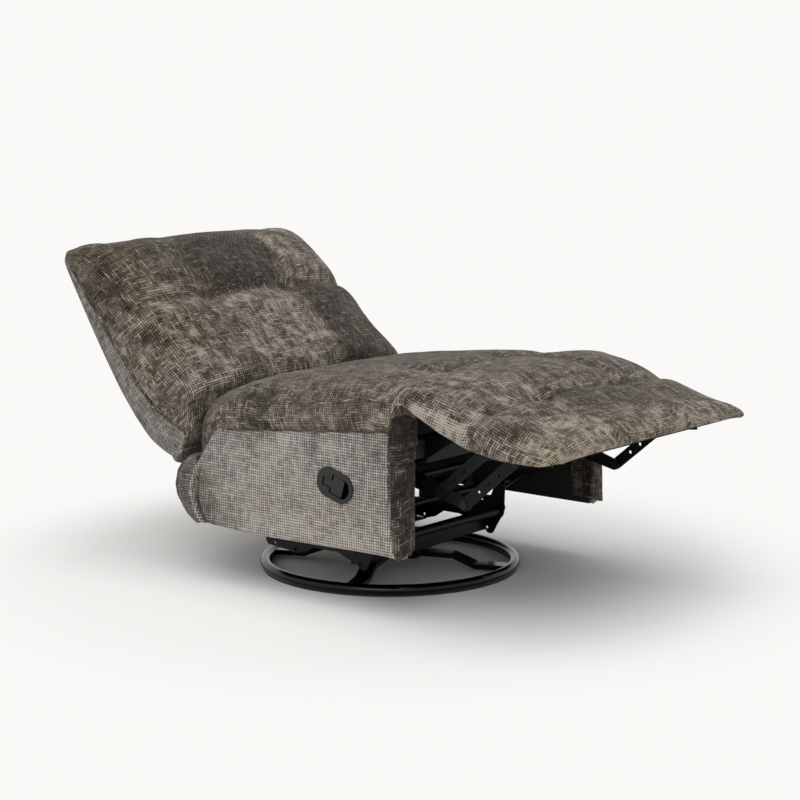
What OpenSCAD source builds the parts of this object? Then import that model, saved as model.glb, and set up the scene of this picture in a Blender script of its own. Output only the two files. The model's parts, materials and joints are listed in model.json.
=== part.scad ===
// Reclining swivel chair on a ring base, shown fully reclined with its footrest out.
// Millimetres, +Z up. The origin is the centre of the floor ring, on the floor.
// The chair faces -Y, and the side with the release handle is -X (the sitter's right).

/* [Ring base] */
// Outer diameter of the floor ring
ring_d = 620; // [580:5:660]
// Diameter of the ring's tube
ring_tube_d = 25; // [22:1:28]
// Wall of the ring's tube
ring_wall = 1.5; // [1:0.25:3]
// Width of the plastic strip under the ring
strip_w = 14; // [10:1:18]
// Thickness of that strip below the tube
strip_t = 2; // [1:0.5:3]
// Width of an arm of the star
arm_w = 36; // [28:1:44]
// Depth of the pressed arm
arm_t = 12; // [10:1:16]
// Sheet thickness of the pressed arm
arm_wall = 2.5; // [1.5:0.5:4]
// Height of the arms' top at the hub
arm_top_z = 42; // [38:1:50]
// Radius at which an arm starts to drop
arm_bend_r = 158; // [145:1:175]
// Radius at which an arm lies level with the ring
arm_foot_r = 212; // [200:1:230]
// Radius at which the arms end under the hub plate
arm_root_r = 30; // [24:1:40]
// Turn of the star under the chair, in degrees
base_turn = 22; // [0:1:90]
// Side of the square hub plate
hub_size = 190; // [175:1:210]
// Thickness of the hub plate
hub_t = 4; // [3:0.5:6]

/* [Swivel bearing] */
// Radius of the circle that the balls run on
ball_circle_r = 48; // [44:1:54]
// Diameter of a ball
ball_d = 7; // [5:0.5:8]
// Number of balls
ball_count = 16; // [8:1:24]
// Width of a bearing race
race_w = 20; // [16:1:24]
// Height of the whole bearing
bearing_h = 10; // [9:0.5:14]
// Length of the swivel top plate, across the chair
top_plate_x = 230; // [210:1:260]
// Width of the swivel top plate, front to rear
top_plate_y = 212; // [190:1:230]
// Thickness of the swivel top plate
top_plate_t = 4; // [3:0.5:6]
// Diameter of the centre bolt
king_d = 16; // [12:1:20]

/* [Chassis] */
// Space between the inner face of a mechanism plate and the side board
plate_space = 64; // [60:1:70]
// Thickness of a mechanism plate and of a link
steel_t = 4; // [3:0.5:4]
// Depth of a cross member, front to rear
member_y = 33; // [28:1:40]
// Height of a cross member
member_z = 40; // [34:1:46]
// Distance from the centre to the middle of a cross member
member_place_y = 93; // [86:1:100]
// Sheet thickness of a cross member
member_wall = 2.5; // [2:0.5:4]
// Diameter of the tube on the front cross member
cross_tube_d = 22; // [18:1:24]
// Wall of that tube
cross_tube_wall = 1.5; // [1:0.25:3]
// Diameter of the two stretcher rods
rod_d = 14; // [10:1:18]

/* [Linkage] */
// Footrest pivot, front to rear
foot_y = -410; // [-418:1:-402]
// Footrest pivot, height
foot_z = 410; // [404:1:414]
// Drive link pivot, front to rear
drive_y = -280; // [-290:1:-270]
// Drive link pivot, height
drive_z = 300; // [292:1:306]
// Distance from the footrest pivot to the outer pin of the footrest bracket
bracket_reach = 171; // [160:1:178]
// Angle of that reach below the horizontal, in degrees
bracket_drop = 15.3; // [13:0.1:17]
// Half the width of a link
link_r = 13; // [11:0.5:14]
// Radius of the shaft of a link pin
link_pin_r = 5; // [4:0.5:6]
// Radius of the shaft of a main pivot
pivot_r = 8; // [6:0.5:9]
// Radius of the eye round a main pivot
eye_r = 18; // [16:0.5:20]
// Back pivot, front to rear
back_y = 300; // [296:1:306]
// Back pivot, height
back_z = 395; // [390:1:400]
// Lean of the back from upright as it stands here, in degrees
back_lean = 40.9; // [38:0.1:44]

/* [Seat box] */
// Thickness of a wooden rail
rail_t = 26; // [18:1:30]
// Thickness of the front and rear rails
end_rail_t = 22; // [18:1:26]
// Height of the wooden rails' lower edge
rail_bottom_z = 330; // [324:1:336]
// Height of the seat rails
rail_h = 54; // [48:1:60]
// Front end of the seat rails
rail_front_y = -330; // [-334:1:-322]
// Rear end of the seat rails
rail_rear_y = 235; // [225:1:240]
// Thickness of the seat's zigzag springs
spring_t = 4; // [3:0.5:5]
// Number of zigzag springs
spring_count = 5; // [3:1:7]
// Number of bends along one zigzag spring
spring_bends = 14; // [10:1:18]

/* [Side panels] */
// Width of the chair over its side panels
chair_w = 800; // [780:2:830]
// Thickness of a side board
board_t = 12; // [9:1:15]
// Thickness of a side panel with its padding
panel_t = 60; // [50:1:64]
// Front edge of the side panels
panel_front_y = -344; // [-350:1:-338]
// Rear edge of the side panels
panel_rear_y = 249; // [244:1:252]
// Lower edge of the side panels
panel_bottom_z = 134; // [125:1:145]
// Height of the side seam at the front of the panel
seam_front_z = 416; // [412:1:422]
// Height of the side seam at the rear of the panel
seam_rear_z = 358; // [352:1:364]
// Place where the panel's top starts to drop towards its rear
corner_y = 172; // [160:1:185]
// Drop of the panel's top at its rear corner
corner_drop = 50; // [30:1:55]

/* [Cushions] */
// Distance from the panels' outer faces to the sides of the seat and footrest pads
pad_inset = 8; // [4:1:14]
// Height of the seat's pad above its springs
seat_pad_t = 117; // [110:1:125]
// Rear end of the seat's pad
seat_rear_y = 255; // [250:1:258]
// Length of the footrest pad from its pivot
footrest_len = 330; // [315:1:340]
// Radius of the seat's rolled nose round the footrest pivot
nose_r = 66; // [62:1:70]
// Inner radius of the rolled nose
nose_core_r = 45; // [42:1:48]
// Distance from the middle to the tufts of the seat and footrest
tuft_x = 141; // [130:1:150]
// Depth of a tuft
tuft_depth = 30; // [15:1:36]
// Depth of a quilting channel
channel_depth = 9; // [4:1:14]
// Half the width of a quilting channel
channel_w = 30; // [20:1:40]
// Distance from the panels' outer faces to the sides of the back at its foot
back_inset = 12; // [8:1:20]
// Distance from the panels' outer faces to the sides of the back at its top
back_top_inset = 36; // [25:1:45]
// Height of the back along its own lean
back_len = 528; // [500:1:540]
// Depth of the back's front cushion
back_pad_t = 90; // [80:1:92]
// Crown of each quilted panel of the back
back_crown = 26; // [15:1:27]
// Distance from the middle to the tufts of the back
back_tuft_x = 143; // [130:1:155]
// Height of the back's row of tufts along its lean
back_tuft_z = 277; // [260:1:295]

/* [Handle] */
// Length of the oval handle bezel
handle_l = 103; // [98:1:108]
// Width of the oval handle bezel
handle_w = 67; // [64:1:72]
// Tilt of the oval, in degrees
handle_tilt = 17; // [12:1:22]
// Tilt of the paddle, in degrees
paddle_tilt = 17; // [12:1:22]
// Centre of the handle, front to rear
handle_y = -174.5; // [-180:0.5:-168]
// Centre of the handle, height
handle_z = 280; // [272:1:288]
// Depth of the cup behind the bezel
cup_depth = 28; // [24:1:30]
// Length of the paddle's wide end
paddle_head_l = 32; // [28:1:34]
// Half the width of the paddle's wide end
paddle_head_w = 20; // [17:0.5:22]
// Length of the paddle's tongue
paddle_tongue_l = 24; // [20:1:26]
// Half the width of the paddle's tongue
paddle_tongue_w = 8; // [6:0.5:9]

/* [Hidden] */

// Shared clearances
fixed_fit = 0.02;
running_fit = 0.05;
gap = 0.3;
weld_gap = 0.1;
overrun = 1;

// Heights of the base, from the floor up
ring_r = (ring_d - ring_tube_d) / 2;
ring_z = strip_t + ring_tube_d / 2;
hub_z = arm_top_z;
race_z = hub_z + hub_t;
ball_z = race_z + bearing_h / 2;
top_plate_z = race_z + bearing_h;
member_bottom_z = top_plate_z + top_plate_t;
member_top_z = member_bottom_z + member_z;
race_gap = 1.6;
strip_rise = 2.5;
arm_bolt_r = 75;
bolt_r = 4;
bolt_head_r = 6.5;
bolt_head_h = 5;
king_head_r = 14;
king_head_h = 6;
king_nut_h = 9;
bush_wall = 2;
bush_flange_r = 16;
bush_flange_t = 1.5;
hub_corner_r = 18;
top_bolt_x = 90;

// Widths, all worked in from the outer faces of the side panels
panel_x = chair_w / 2;
board_x = panel_x - panel_t;
plate_x = board_x - plate_space;
pad_half_w = panel_x - pad_inset;
back_half_w = panel_x - back_inset;
back_top_half_w = panel_x - back_top_inset;

// Chassis places
plate_out_x = plate_x + steel_t;
foot_plate_step = 38;
foot_plate_x = plate_x - foot_plate_step;
link_gap = 4;
link_x = plate_out_x + link_gap;
link_out_x = link_x + steel_t;
outer_link_x = link_out_x + link_gap;
outer_link_out_x = outer_link_x + steel_t;
pin_head_r = 9;
pin_head_t = 2.5;
pin_tail = 4;
hole_r = 4;
cross_tube_z = member_top_z + cross_tube_d / 2 + weld_gap;
cross_tube_end = 1;
rod_lower = [-150, 185];
rod_upper = [-170, 255];
rod_nut_r = 11;
rod_nut_t = 3;

// Pivots of the footrest linkage, as [y, z]; the drive link lies parallel to the
// footrest bracket and the two outer links stay parallel to each other
foot_pivot = [foot_y, foot_z];
drive_pivot = [drive_y, drive_z];
bracket_pin = foot_pivot + bracket_reach * [-cos(bracket_drop), -sin(bracket_drop)];
guide_share = 0.6;
guide_pin = foot_pivot + guide_share * (bracket_pin - foot_pivot);
drive_end = drive_pivot + bracket_pin - foot_pivot;
drive_mid = drive_pivot + guide_pin - foot_pivot;
back_pivot = [back_y, back_z];
drive_eye_r = 20;
link_steps = 10;
link_hole_share = [0.3, 0.5, 0.7];

// Latch
pawl_reach = [60, 24];
pawl_pivot = drive_pivot + pawl_reach;
pawl_gap = 0.8;
pawl_tip_r = drive_eye_r + pawl_gap;
pawl_nose = [6, -5];
pawl_tip_angle = 20;
pawl_r = 10;
pawl_pin_r = 4;
pawl_tail_reach = [20, 14];
pawl_tail = pawl_pivot + pawl_tail_reach;
pawl_notch_r = 4;
footrest_fold = 88;

// Seat box
deck_z = rail_bottom_z + rail_h;
pad_bottom_z = deck_z + spring_t + gap;
spring_band = 4;
spring_swing = 22;
dust_t = 1.5;

// Side panels
board_inset = 4;
cup_wall = 2.5;
bezel_t = 3;
cup_inset = 6;
seam_gap = 0.5;
cable_d = 5;
cable_hole_r = 7;
cable_sides = 8;
cable_steps = 3;
// The cable's route: depth behind the side panel's outer face, then its place front to rear and its height
cable_points = [[28, -165, 280], [42, -165, 280], [60, -165, 281], [78, -166, 288],
    [91, -169, 303], [99, -174, 322], [105, -180, 338], [110, -186, 347]];
cable_route = [for (p = cable_points) [p[0] - panel_x, p[1], p[2]]];
cable_hole = [cable_points[0][1], cable_points[0][2]];

// Quilting of the pads
seat_tuft_y = -256;
foot_tuft_y = -532;
tuft_w = 24;
pad_columns = 12;
pad_edge_power = 8;
edge_share = 0.2;
step_share = 0.008;
pad_crown = 12;
side_step_x = board_x - board_inset;
nose_start = 94;
nose_end = 180;
nose_turn = 0.4;
nose_steps = 6;
flap_start = 95.5;
flap_end = 183;

// Returns the points of an arc round c
function arc(c, r, a0, a1, steps) =
    [for (i = [0:steps]) c + r * [cos(a0 + (a1 - a0) * i / steps), sin(a0 + (a1 - a0) * i / steps)]];
// Heading from p to q, in degrees
function heading(p, q) = atan2(q[1] - p[1], q[0] - p[0]);
// Outline of a flat link with round ends
function strap(p, rp, q, rq) = concat(
    arc(q, rq, heading(p, q) - 90, heading(p, q) + 90, link_steps),
    arc(p, rp, heading(p, q) + 90, heading(p, q) + 270, link_steps));
// A point on a circle in the side plane
function polar(r, a) = r * [cos(a), sin(a)];
// Height of the side seam at a place along the panel, and of the panel's top with its dropped rear corner
function seam_z(y) = seam_front_z
    + (seam_rear_z - seam_front_z) * (y - panel_front_y) / (panel_rear_y - panel_front_y);
function panel_top(y) = seam_z(y) - corner_drop * pow(max(0, (y - corner_y) / (panel_rear_y - corner_y)), 1.3);
// Oval outline
function slot_point(r, c, a) = [r * cos(a) + (cos(a) >= 0 ? c : -c), r * sin(a)];
function oval(l, w, steps) = [for (i = [0:steps - 1]) slot_point(w / 2, (l - w) / 2, 360 * i / steps)];
// Dip of a channel at distance d from its middle
function dip(d, w) = exp(-d * d / (w * w));

// Closed skin over rings of points that each go once round; the first half of a ring is its
// outer row and the second half is its inner row, read back, so each end is a strip of pairs
module ring_loft(rings) {
    n = len(rings[0]);
    m = len(rings);
    half = floor(n / 2);
    points = [for (ring = rings) each ring];
    sides = [for (i = [0:m - 2]) for (k = [0:n - 1])
        each [[i * n + k, i * n + (k + 1) % n, (i + 1) * n + k],
            [i * n + (k + 1) % n, (i + 1) * n + (k + 1) % n, (i + 1) * n + k]]];
    start = [for (k = [0:half - 2]) each [[k, n - 1 - k, k + 1], [k + 1, n - 1 - k, n - 2 - k]]];
    last = (m - 1) * n;
    end = [for (k = [0:half - 2]) each [[last + k, last + k + 1, last + n - 1 - k],
        [last + k + 1, last + n - 2 - k, last + n - 1 - k]]];
    polyhedron(points = points, faces = concat(sides, start, end), convexity = 6);
}

// Flat plate in the side plane, from x outward by t
module side_plate(x, t) {
    translate([x, 0, 0]) rotate([90, 0, 90]) linear_extrude(t) children();
}

// Round bar across the chair at a place [y, z]
module cross_bar(p, x0, x1, r) {
    translate([x0, p[0], p[1]]) rotate([0, 90, 0]) cylinder(h = x1 - x0, r = r, $fn = 48);
}

// The chair's right side is the mirror of its left
module on_side(side) {
    mirror([side < 0 ? 1 : 0, 0, 0]) children();
}

// BASE

module ring_torus(r) {
    rotate_extrude($fn = 120) translate([ring_r, 0]) circle(r = r, $fn = 40);
}

module base_ring() {
    color([0.06, 0.06, 0.065]) translate([0, 0, ring_z]) difference() {
        ring_torus(ring_tube_d / 2);
        ring_torus(ring_tube_d / 2 - ring_wall);
    }
}

module floor_strip() {
    color([0.1, 0.1, 0.1]) difference() {
        rotate_extrude($fn = 120) translate([ring_r - strip_w / 2, 0]) square([strip_w, strip_t + strip_rise]);
        translate([0, 0, ring_z]) ring_torus(ring_tube_d / 2 + weld_gap);
    }
}

// Side outline of an arm: level at the hub, an S bend, level again at the ring
function arm_line(drop) = [
    [arm_root_r, arm_top_z - drop],
    [arm_bend_r, arm_top_z - drop],
    [arm_foot_r, ring_z + arm_t / 2 - drop],
    [ring_r - ring_tube_d / 4, ring_z + arm_t / 2 - drop]];
function reverse(v) = [for (i = [len(v) - 1:-1:0]) v[i]];

module base_arm(turn) {
    color([0.06, 0.06, 0.065]) rotate([0, 0, turn]) difference() {
        translate([0, arm_w / 2, 0]) rotate([90, 0, 0]) linear_extrude(arm_w)
            polygon(concat(arm_line(0), reverse(arm_line(arm_t))));
        translate([0, arm_w / 2 - arm_wall, 0]) rotate([90, 0, 0]) linear_extrude(arm_w - 2 * arm_wall)
            polygon(concat(arm_line(arm_wall), reverse(arm_line(arm_t + overrun))));
        translate([0, 0, ring_z]) ring_torus(ring_tube_d / 2 + weld_gap);
        translate([arm_bolt_r, 0, 0]) cylinder(h = hub_z + overrun, r = bolt_r + fixed_fit, $fn = 32);
    }
}

module rounded_plate(x, y, t, r) {
    linear_extrude(t) polygon(concat(
        arc([x / 2 - r, y / 2 - r], r, 0, 90, link_steps),
        arc([r - x / 2, y / 2 - r], r, 90, 180, link_steps),
        arc([r - x / 2, r - y / 2], r, 180, 270, link_steps),
        arc([x / 2 - r, r - y / 2], r, 270, 360, link_steps)));
}

module hub_plate() {
    color([0.07, 0.07, 0.075]) translate([0, 0, hub_z]) rotate([0, 0, base_turn]) difference() {
        rounded_plate(hub_size, hub_size, hub_t, hub_corner_r);
        translate([0, 0, -overrun]) cylinder(h = hub_t + 2 * overrun, r = king_d / 2 + fixed_fit, $fn = 48);
        for (a = [0:90:270])
            rotate([0, 0, a]) translate([arm_bolt_r, 0, -overrun])
                cylinder(h = hub_t + 2 * overrun, r = bolt_r + fixed_fit, $fn = 32);
    }
}

// Hex bolt with its head up, its shank reaching down by l
module bolt(l) {
    cylinder(h = bolt_head_h, r = bolt_head_r, $fn = 6);
    translate([0, 0, -l]) cylinder(h = l + overrun, r = bolt_r, $fn = 32);
}

module hub_bolts() {
    color([0.5, 0.5, 0.52]) for (a = [0:90:270])
        rotate([0, 0, a + base_turn]) translate([arm_bolt_r, 0, race_z]) bolt(hub_t + arm_t);
}

module race(z0, z1) {
    difference() {
        translate([0, 0, z0]) rotate_extrude($fn = 96)
            translate([ball_circle_r - race_w / 2, 0]) square([race_w, z1 - z0]);
        translate([0, 0, ball_z]) rotate_extrude($fn = 96) translate([ball_circle_r, 0])
            circle(r = ball_d / 2 + gap, $fn = 32);
    }
}

module bearing_lower_race() {
    color([0.6, 0.6, 0.62]) race(race_z, ball_z - race_gap / 2);
}

module bearing_upper_race() {
    color([0.6, 0.6, 0.62]) race(ball_z + race_gap / 2, top_plate_z);
}

module bearing_balls() {
    color([0.75, 0.75, 0.77]) for (i = [0:ball_count - 1])
        rotate([0, 0, 360 * i / ball_count]) translate([ball_circle_r, 0, ball_z]) sphere(d = ball_d, $fn = 24);
}

module king_bolt() {
    color([0.5, 0.5, 0.52]) {
        translate([0, 0, hub_z - king_head_h]) cylinder(h = king_head_h, r = king_head_r, $fn = 6);
        translate([0, 0, hub_z - overrun])
            cylinder(h = member_bottom_z - hub_z + bush_flange_t + gap + king_nut_h + 2 * overrun,
                r = king_d / 2, $fn = 48);
    }
}

module king_nut() {
    color([0.6, 0.6, 0.62]) translate([0, 0, member_bottom_z + bush_flange_t + gap]) difference() {
        cylinder(h = king_nut_h, r = king_head_r, $fn = 6);
        translate([0, 0, -overrun])
            cylinder(h = king_nut_h + 2 * overrun, r = king_d / 2 + fixed_fit, $fn = 48);
    }
}

// SEAT BODY

module swivel_bush() {
    color([0.85, 0.84, 0.8]) difference() {
        union() {
            translate([0, 0, top_plate_z])
                cylinder(h = top_plate_t + bush_flange_t, r = king_d / 2 + bush_wall, $fn = 48);
            translate([0, 0, member_bottom_z]) cylinder(h = bush_flange_t, r = bush_flange_r, $fn = 48);
        }
        translate([0, 0, top_plate_z - overrun])
            cylinder(h = top_plate_t + bush_flange_t + 2 * overrun, r = king_d / 2 + running_fit, $fn = 48);
    }
}

module swivel_top_plate() {
    color([0.07, 0.07, 0.075]) translate([0, 0, top_plate_z]) difference() {
        rounded_plate(top_plate_x, top_plate_y, top_plate_t, hub_corner_r);
        translate([0, 0, -overrun])
            cylinder(h = top_plate_t + 2 * overrun, r = king_d / 2 + bush_wall + fixed_fit, $fn = 48);
        for (x = [-1, 1]) for (y = [-1, 1])
            translate([x * top_bolt_x, y * member_place_y, -overrun])
                cylinder(h = top_plate_t + 2 * overrun, r = bolt_r + fixed_fit, $fn = 32);
    }
}

module top_plate_bolts() {
    color([0.6, 0.6, 0.62]) for (x = [-1, 1]) for (y = [-1, 1])
        translate([x * top_bolt_x, y * member_place_y, top_plate_z]) mirror([0, 0, 1])
            bolt(top_plate_t + member_wall + bolt_head_h);
}

// Pressed channel, open towards the middle of the chair
module cross_member(way) {
    x0 = foot_plate_x - weld_gap;
    translate([0, way * member_place_y, member_bottom_z]) difference() {
        translate([-x0, -member_y / 2, 0]) cube([2 * x0, member_y, member_z]);
        translate([-x0 - overrun, way > 0 ? -member_y / 2 - overrun : member_wall - member_y / 2, member_wall])
            cube([2 * (x0 + overrun), member_y - member_wall + overrun, member_z - 2 * member_wall]);
        for (x = [-1, 1])
            translate([x * top_bolt_x, 0, -overrun])
                cylinder(h = member_wall + 2 * overrun, r = bolt_r + fixed_fit, $fn = 32);
    }
}

module front_cross_member() {
    color([0.06, 0.06, 0.065]) cross_member(-1);
}

module rear_cross_member() {
    color([0.06, 0.06, 0.065]) cross_member(1);
}

tube_step = 50;
cross_tube_place = [-member_place_y - tube_step, cross_tube_z];

module cross_tube() {
    end_x = foot_plate_x + steel_t + cross_tube_end;
    color([0.1, 0.1, 0.105]) difference() {
        cross_bar(cross_tube_place, -end_x, end_x, cross_tube_d / 2);
        cross_bar(cross_tube_place, -end_x - overrun, end_x + overrun, cross_tube_d / 2 - cross_tube_wall);
    }
}

module stretcher_rods() {
    color([0.1, 0.1, 0.105]) for (p = [rod_lower, rod_upper]) {
        cross_bar(p, -plate_out_x - rod_nut_t, plate_out_x + rod_nut_t, rod_d / 2);
        for (s = [-1, 1])
            translate([s * (plate_out_x + gap), p[0], p[1]]) rotate([0, s * 90, 0])
                cylinder(h = rod_nut_t, r = rod_nut_r, $fn = 6);
    }
}

// Side outline of a mechanism plate: a straight foot, the drive pivot's eye at the front, an
// arm up to the footrest pivot and another up to the back pivot
plate_rise = 34;
plate_low_z = member_bottom_z + plate_rise;
plate_foot = [-128, 132];
neck_y = -192;
neck_rise = 60;
arm_neck = 26;
arm_slant = 14;
back_arm_y = 262;
plate_len = rail_rear_y - rail_front_y;
plate_high = deck_z - plate_low_z;
neck_share = [0.5, 0.37];
function plate_place(share) = [share[0] * plate_len, plate_low_z + share[1] * plate_high];
plate_outline = concat(
    [[plate_foot[0], plate_low_z], [plate_foot[1], plate_low_z], [plate_foot[1], rail_bottom_z - 2 * arm_neck],
        [plate_foot[1] + arm_neck, rail_bottom_z - arm_neck], [rail_rear_y, rail_bottom_z - arm_neck]],
    arc(back_pivot, eye_r, -50, 160, link_steps),
    [[back_arm_y, deck_z - overrun], [rail_front_y, deck_z - overrun]],
    arc(foot_pivot, eye_r, 70, 240, link_steps),
    [[rail_front_y + arm_slant, rail_bottom_z]],
    arc(drive_pivot, eye_r + pin_tail, 130, 270, link_steps),
    [[neck_y - arm_neck, plate_place(neck_share)[1]], [neck_y, plate_place([0, neck_share[1]])[1]],
        [plate_foot[0], plate_low_z + neck_rise]]);
window_steps = 6;
// Windows as shares of the plate's length and height: [y, z, length, height, corner radius]
window_share = [[0.071, 0.332, 0.209, 0.289, 0.035], [-0.124, 0.332, 0.117, 0.379, 0.032],
    [0.053, 0.649, 0.219, 0.118, 0.027], [-0.168, 0.676, 0.142, 0.118, 0.027]];
plate_hole_share = [[0.15, 0.09], [-0.12, 0.09], [-0.24, 0.35]];

module round_slot(c, l, h, r) {
    polygon(concat(
        arc(c + [l / 2 - r, h / 2 - r], r, 0, 90, window_steps),
        arc(c + [r - l / 2, h / 2 - r], r, 90, 180, window_steps),
        arc(c + [r - l / 2, r - h / 2], r, 180, 270, window_steps),
        arc(c + [l / 2 - r, r - h / 2], r, 270, 360, window_steps)));
}

module mechanism_plate(side) {
    color([0.07, 0.07, 0.075]) on_side(side) difference() {
        side_plate(plate_x, steel_t) polygon(plate_outline);
        side_plate(plate_x - overrun, steel_t + 2 * overrun) {
            for (w = window_share)
                round_slot(plate_place(w), w[2] * plate_len, w[3] * plate_high, w[4] * plate_len);
        }
        cross_bar(foot_pivot, plate_x - overrun, plate_out_x + overrun, pivot_r + fixed_fit);
        cross_bar(drive_pivot, plate_x - overrun, plate_out_x + overrun, pivot_r + fixed_fit);
        cross_bar(back_pivot, plate_x - overrun, plate_out_x + overrun, pivot_r + fixed_fit);
        for (p = [rod_lower, rod_upper])
            cross_bar(p, plate_x - overrun, plate_out_x + overrun, rod_d / 2 + fixed_fit);
        for (share = plate_hole_share)
            cross_bar(plate_place(share), plate_x - overrun, plate_out_x + overrun, hole_r);
    }
}

// Foot bracket inside each mechanism plate: an eye on the lower rod, a bore for the cross tube,
// a front lobe that ends in a tooth and a long rear lobe. Its outline is in shares of its
// length and of the tube's height over the tooth
foot_plate_len = 340;
foot_plate_drop = 60;
foot_plate_share = [[-0.053, 0.3], [-0.06, 0.16], [-0.044, -0.18], [-0.018, -0.35], [0.012, -0.63],
    [0.041, -0.93], [0.055, -1], [0.082, -1], [0.094, -0.97], [0.115, -0.83], [0.176, -0.73],
    [0.268, -0.53], [0.34, -0.4], [0.49, -0.4], [0.515, -0.49], [0.571, -0.7], [0.647, -0.82],
    [0.921, -0.7], [0.944, -0.57], [0.95, -0.1],
    [0.35, 0.2], [0.1, 0.35], [0.06, 0.6]];
foot_hole_share = [[0.096, -0.77], [0.67, -0.67], [0.865, -0.6]];
foot_eye_r = 13;
function foot_place(share) = cross_tube_place + [share[0] * foot_plate_len, share[1] * foot_plate_drop];

module end_bracket(side) {
    color([0.07, 0.07, 0.075]) on_side(side) difference() {
        side_plate(foot_plate_x, steel_t) polygon(concat(
            [for (share = foot_plate_share) foot_place(share)],
            arc(rod_lower, foot_eye_r, 0, 180, link_steps)));
        cross_bar(cross_tube_place, foot_plate_x - overrun, foot_plate_x + steel_t + overrun,
            cross_tube_d / 2 + fixed_fit);
        cross_bar(rod_lower, foot_plate_x - overrun, foot_plate_x + steel_t + overrun, rod_d / 2 + fixed_fit);
        for (share = foot_hole_share)
            cross_bar(foot_place(share), foot_plate_x - overrun, foot_plate_x + steel_t + overrun, hole_r);
    }
}

// Pin of a main pivot: head inside, collar between the plates, cap outside
module main_pin(p) {
    cross_bar(p, plate_x - pin_head_t, plate_x, pivot_r + pin_tail);
    cross_bar(p, plate_x - overrun, link_out_x + gap + overrun, pivot_r);
    cross_bar(p, plate_out_x, link_x - gap, pivot_r + pin_tail);
    cross_bar(p, link_out_x + gap, link_out_x + gap + pin_head_t, pivot_r + pin_tail);
}

module main_pivots() {
    color([0.55, 0.55, 0.57]) for (side = [-1, 1]) on_side(side) {
        main_pin(foot_pivot);
        main_pin(drive_pivot);
        main_pin(back_pivot);
    }
    color([0.55, 0.55, 0.57]) on_side(-1) {
        cross_bar(pawl_pivot, plate_out_x, link_x - gap, pawl_pin_r + pin_tail / 2);
        cross_bar(pawl_pivot, plate_out_x, link_out_x + gap + overrun, pawl_pin_r);
        cross_bar(pawl_pivot, link_out_x + gap, link_out_x + gap + pin_head_t, pawl_pin_r + pin_tail / 2);
    }
}

// LINKAGE

module link_bore(p, x, r) {
    cross_bar(p, x - overrun, x + steel_t + overrun, r);
}

module drive_link(side) {
    color([0.09, 0.09, 0.095]) on_side(side) difference() {
        side_plate(link_x, steel_t) polygon(strap(drive_pivot, drive_eye_r, drive_end, link_r));
        link_bore(drive_pivot, link_x, pivot_r + running_fit);
        link_bore(drive_end, link_x, link_pin_r + fixed_fit);
        link_bore(drive_mid, link_x, link_pin_r + fixed_fit);
        link_bore(drive_pivot + polar(drive_eye_r, pawl_tip_angle - footrest_fold), link_x, pawl_notch_r);
    }
}

module outer_link(p, q) {
    difference() {
        side_plate(outer_link_x, steel_t) polygon(strap(p, link_r, q, link_r));
        link_bore(p, outer_link_x, link_pin_r + running_fit);
        link_bore(q, outer_link_x, link_pin_r + running_fit);
        for (s = link_hole_share)
            link_bore(p + s * (q - p), outer_link_x, hole_r);
    }
}

module support_link(side) {
    color([0.12, 0.12, 0.125]) on_side(side) outer_link(drive_end, bracket_pin);
}

module guide_link(side) {
    color([0.12, 0.12, 0.125]) on_side(side) outer_link(drive_mid, guide_pin);
}

// Pin through an inner plate that carries an outer link
module link_pin(p) {
    cross_bar(p, link_x - pin_head_t, link_x, pin_head_r - overrun);
    cross_bar(p, link_x - overrun, outer_link_out_x + gap + overrun, link_pin_r);
    cross_bar(p, link_out_x, outer_link_x - gap, pin_head_r);
    cross_bar(p, outer_link_out_x + gap, outer_link_out_x + gap + pin_head_t, pin_head_r);
}

module link_pins(side) {
    color([0.55, 0.55, 0.57]) on_side(side) {
        link_pin(drive_end);
        link_pin(drive_mid);
    }
}

module bracket_pins() {
    color([0.55, 0.55, 0.57]) for (side = [-1, 1]) on_side(side) {
        link_pin(bracket_pin);
        link_pin(guide_pin);
    }
}

// FOOTREST BODY

pad_under_share = 0.0775;
board_top_z = foot_z - pad_under_share * footrest_len - gap;
board_h = 12;
foot_board_inset = 75;
foot_board_side = 90;
foot_board_space = 6.1;
foot_board_front_y = foot_y - footrest_len + foot_board_inset;
foot_board_rear_y = bracket_pin[0] - link_r - foot_board_space;
foot_board_x = pad_half_w - foot_board_side;
flange_w = 20;
flange_t = 3;
bracket_deep = 10;

// Side outline of a footrest bracket, from its pivot eye to the flange under the board
module footrest_bracket(side) {
    under = board_top_z - board_h;
    color([0.09, 0.09, 0.095]) on_side(side) {
        difference() {
            side_plate(link_x, steel_t) polygon(concat(
                arc(foot_pivot, eye_r, -70, 150, link_steps),
                [foot_pivot + polar(nose_core_r, 187), foot_pivot + polar(nose_r + eye_r, 188),
                    bracket_pin + [-link_r, under - bracket_pin[1]],
                    [foot_board_front_y, under], [foot_board_front_y, under - bracket_deep]],
                arc(bracket_pin, link_r, 250, 280, link_steps),
                arc(guide_pin, link_r + pin_head_t, 260, 300, link_steps)));
            link_bore(foot_pivot, link_x, pivot_r + running_fit);
            link_bore(bracket_pin, link_x, link_pin_r + fixed_fit);
            link_bore(guide_pin, link_x, link_pin_r + fixed_fit);
        }
        translate([link_x - flange_w, foot_board_front_y, under - flange_t])
            cube([flange_w + overrun, foot_board_rear_y - foot_board_front_y, flange_t]);
    }
}

module footrest_board() {
    color([0.72, 0.6, 0.42]) translate([-foot_board_x, foot_board_front_y, board_top_z - board_h])
        cube([2 * foot_board_x, foot_board_rear_y - foot_board_front_y, board_h]);
}

// CUSHIONS

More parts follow.
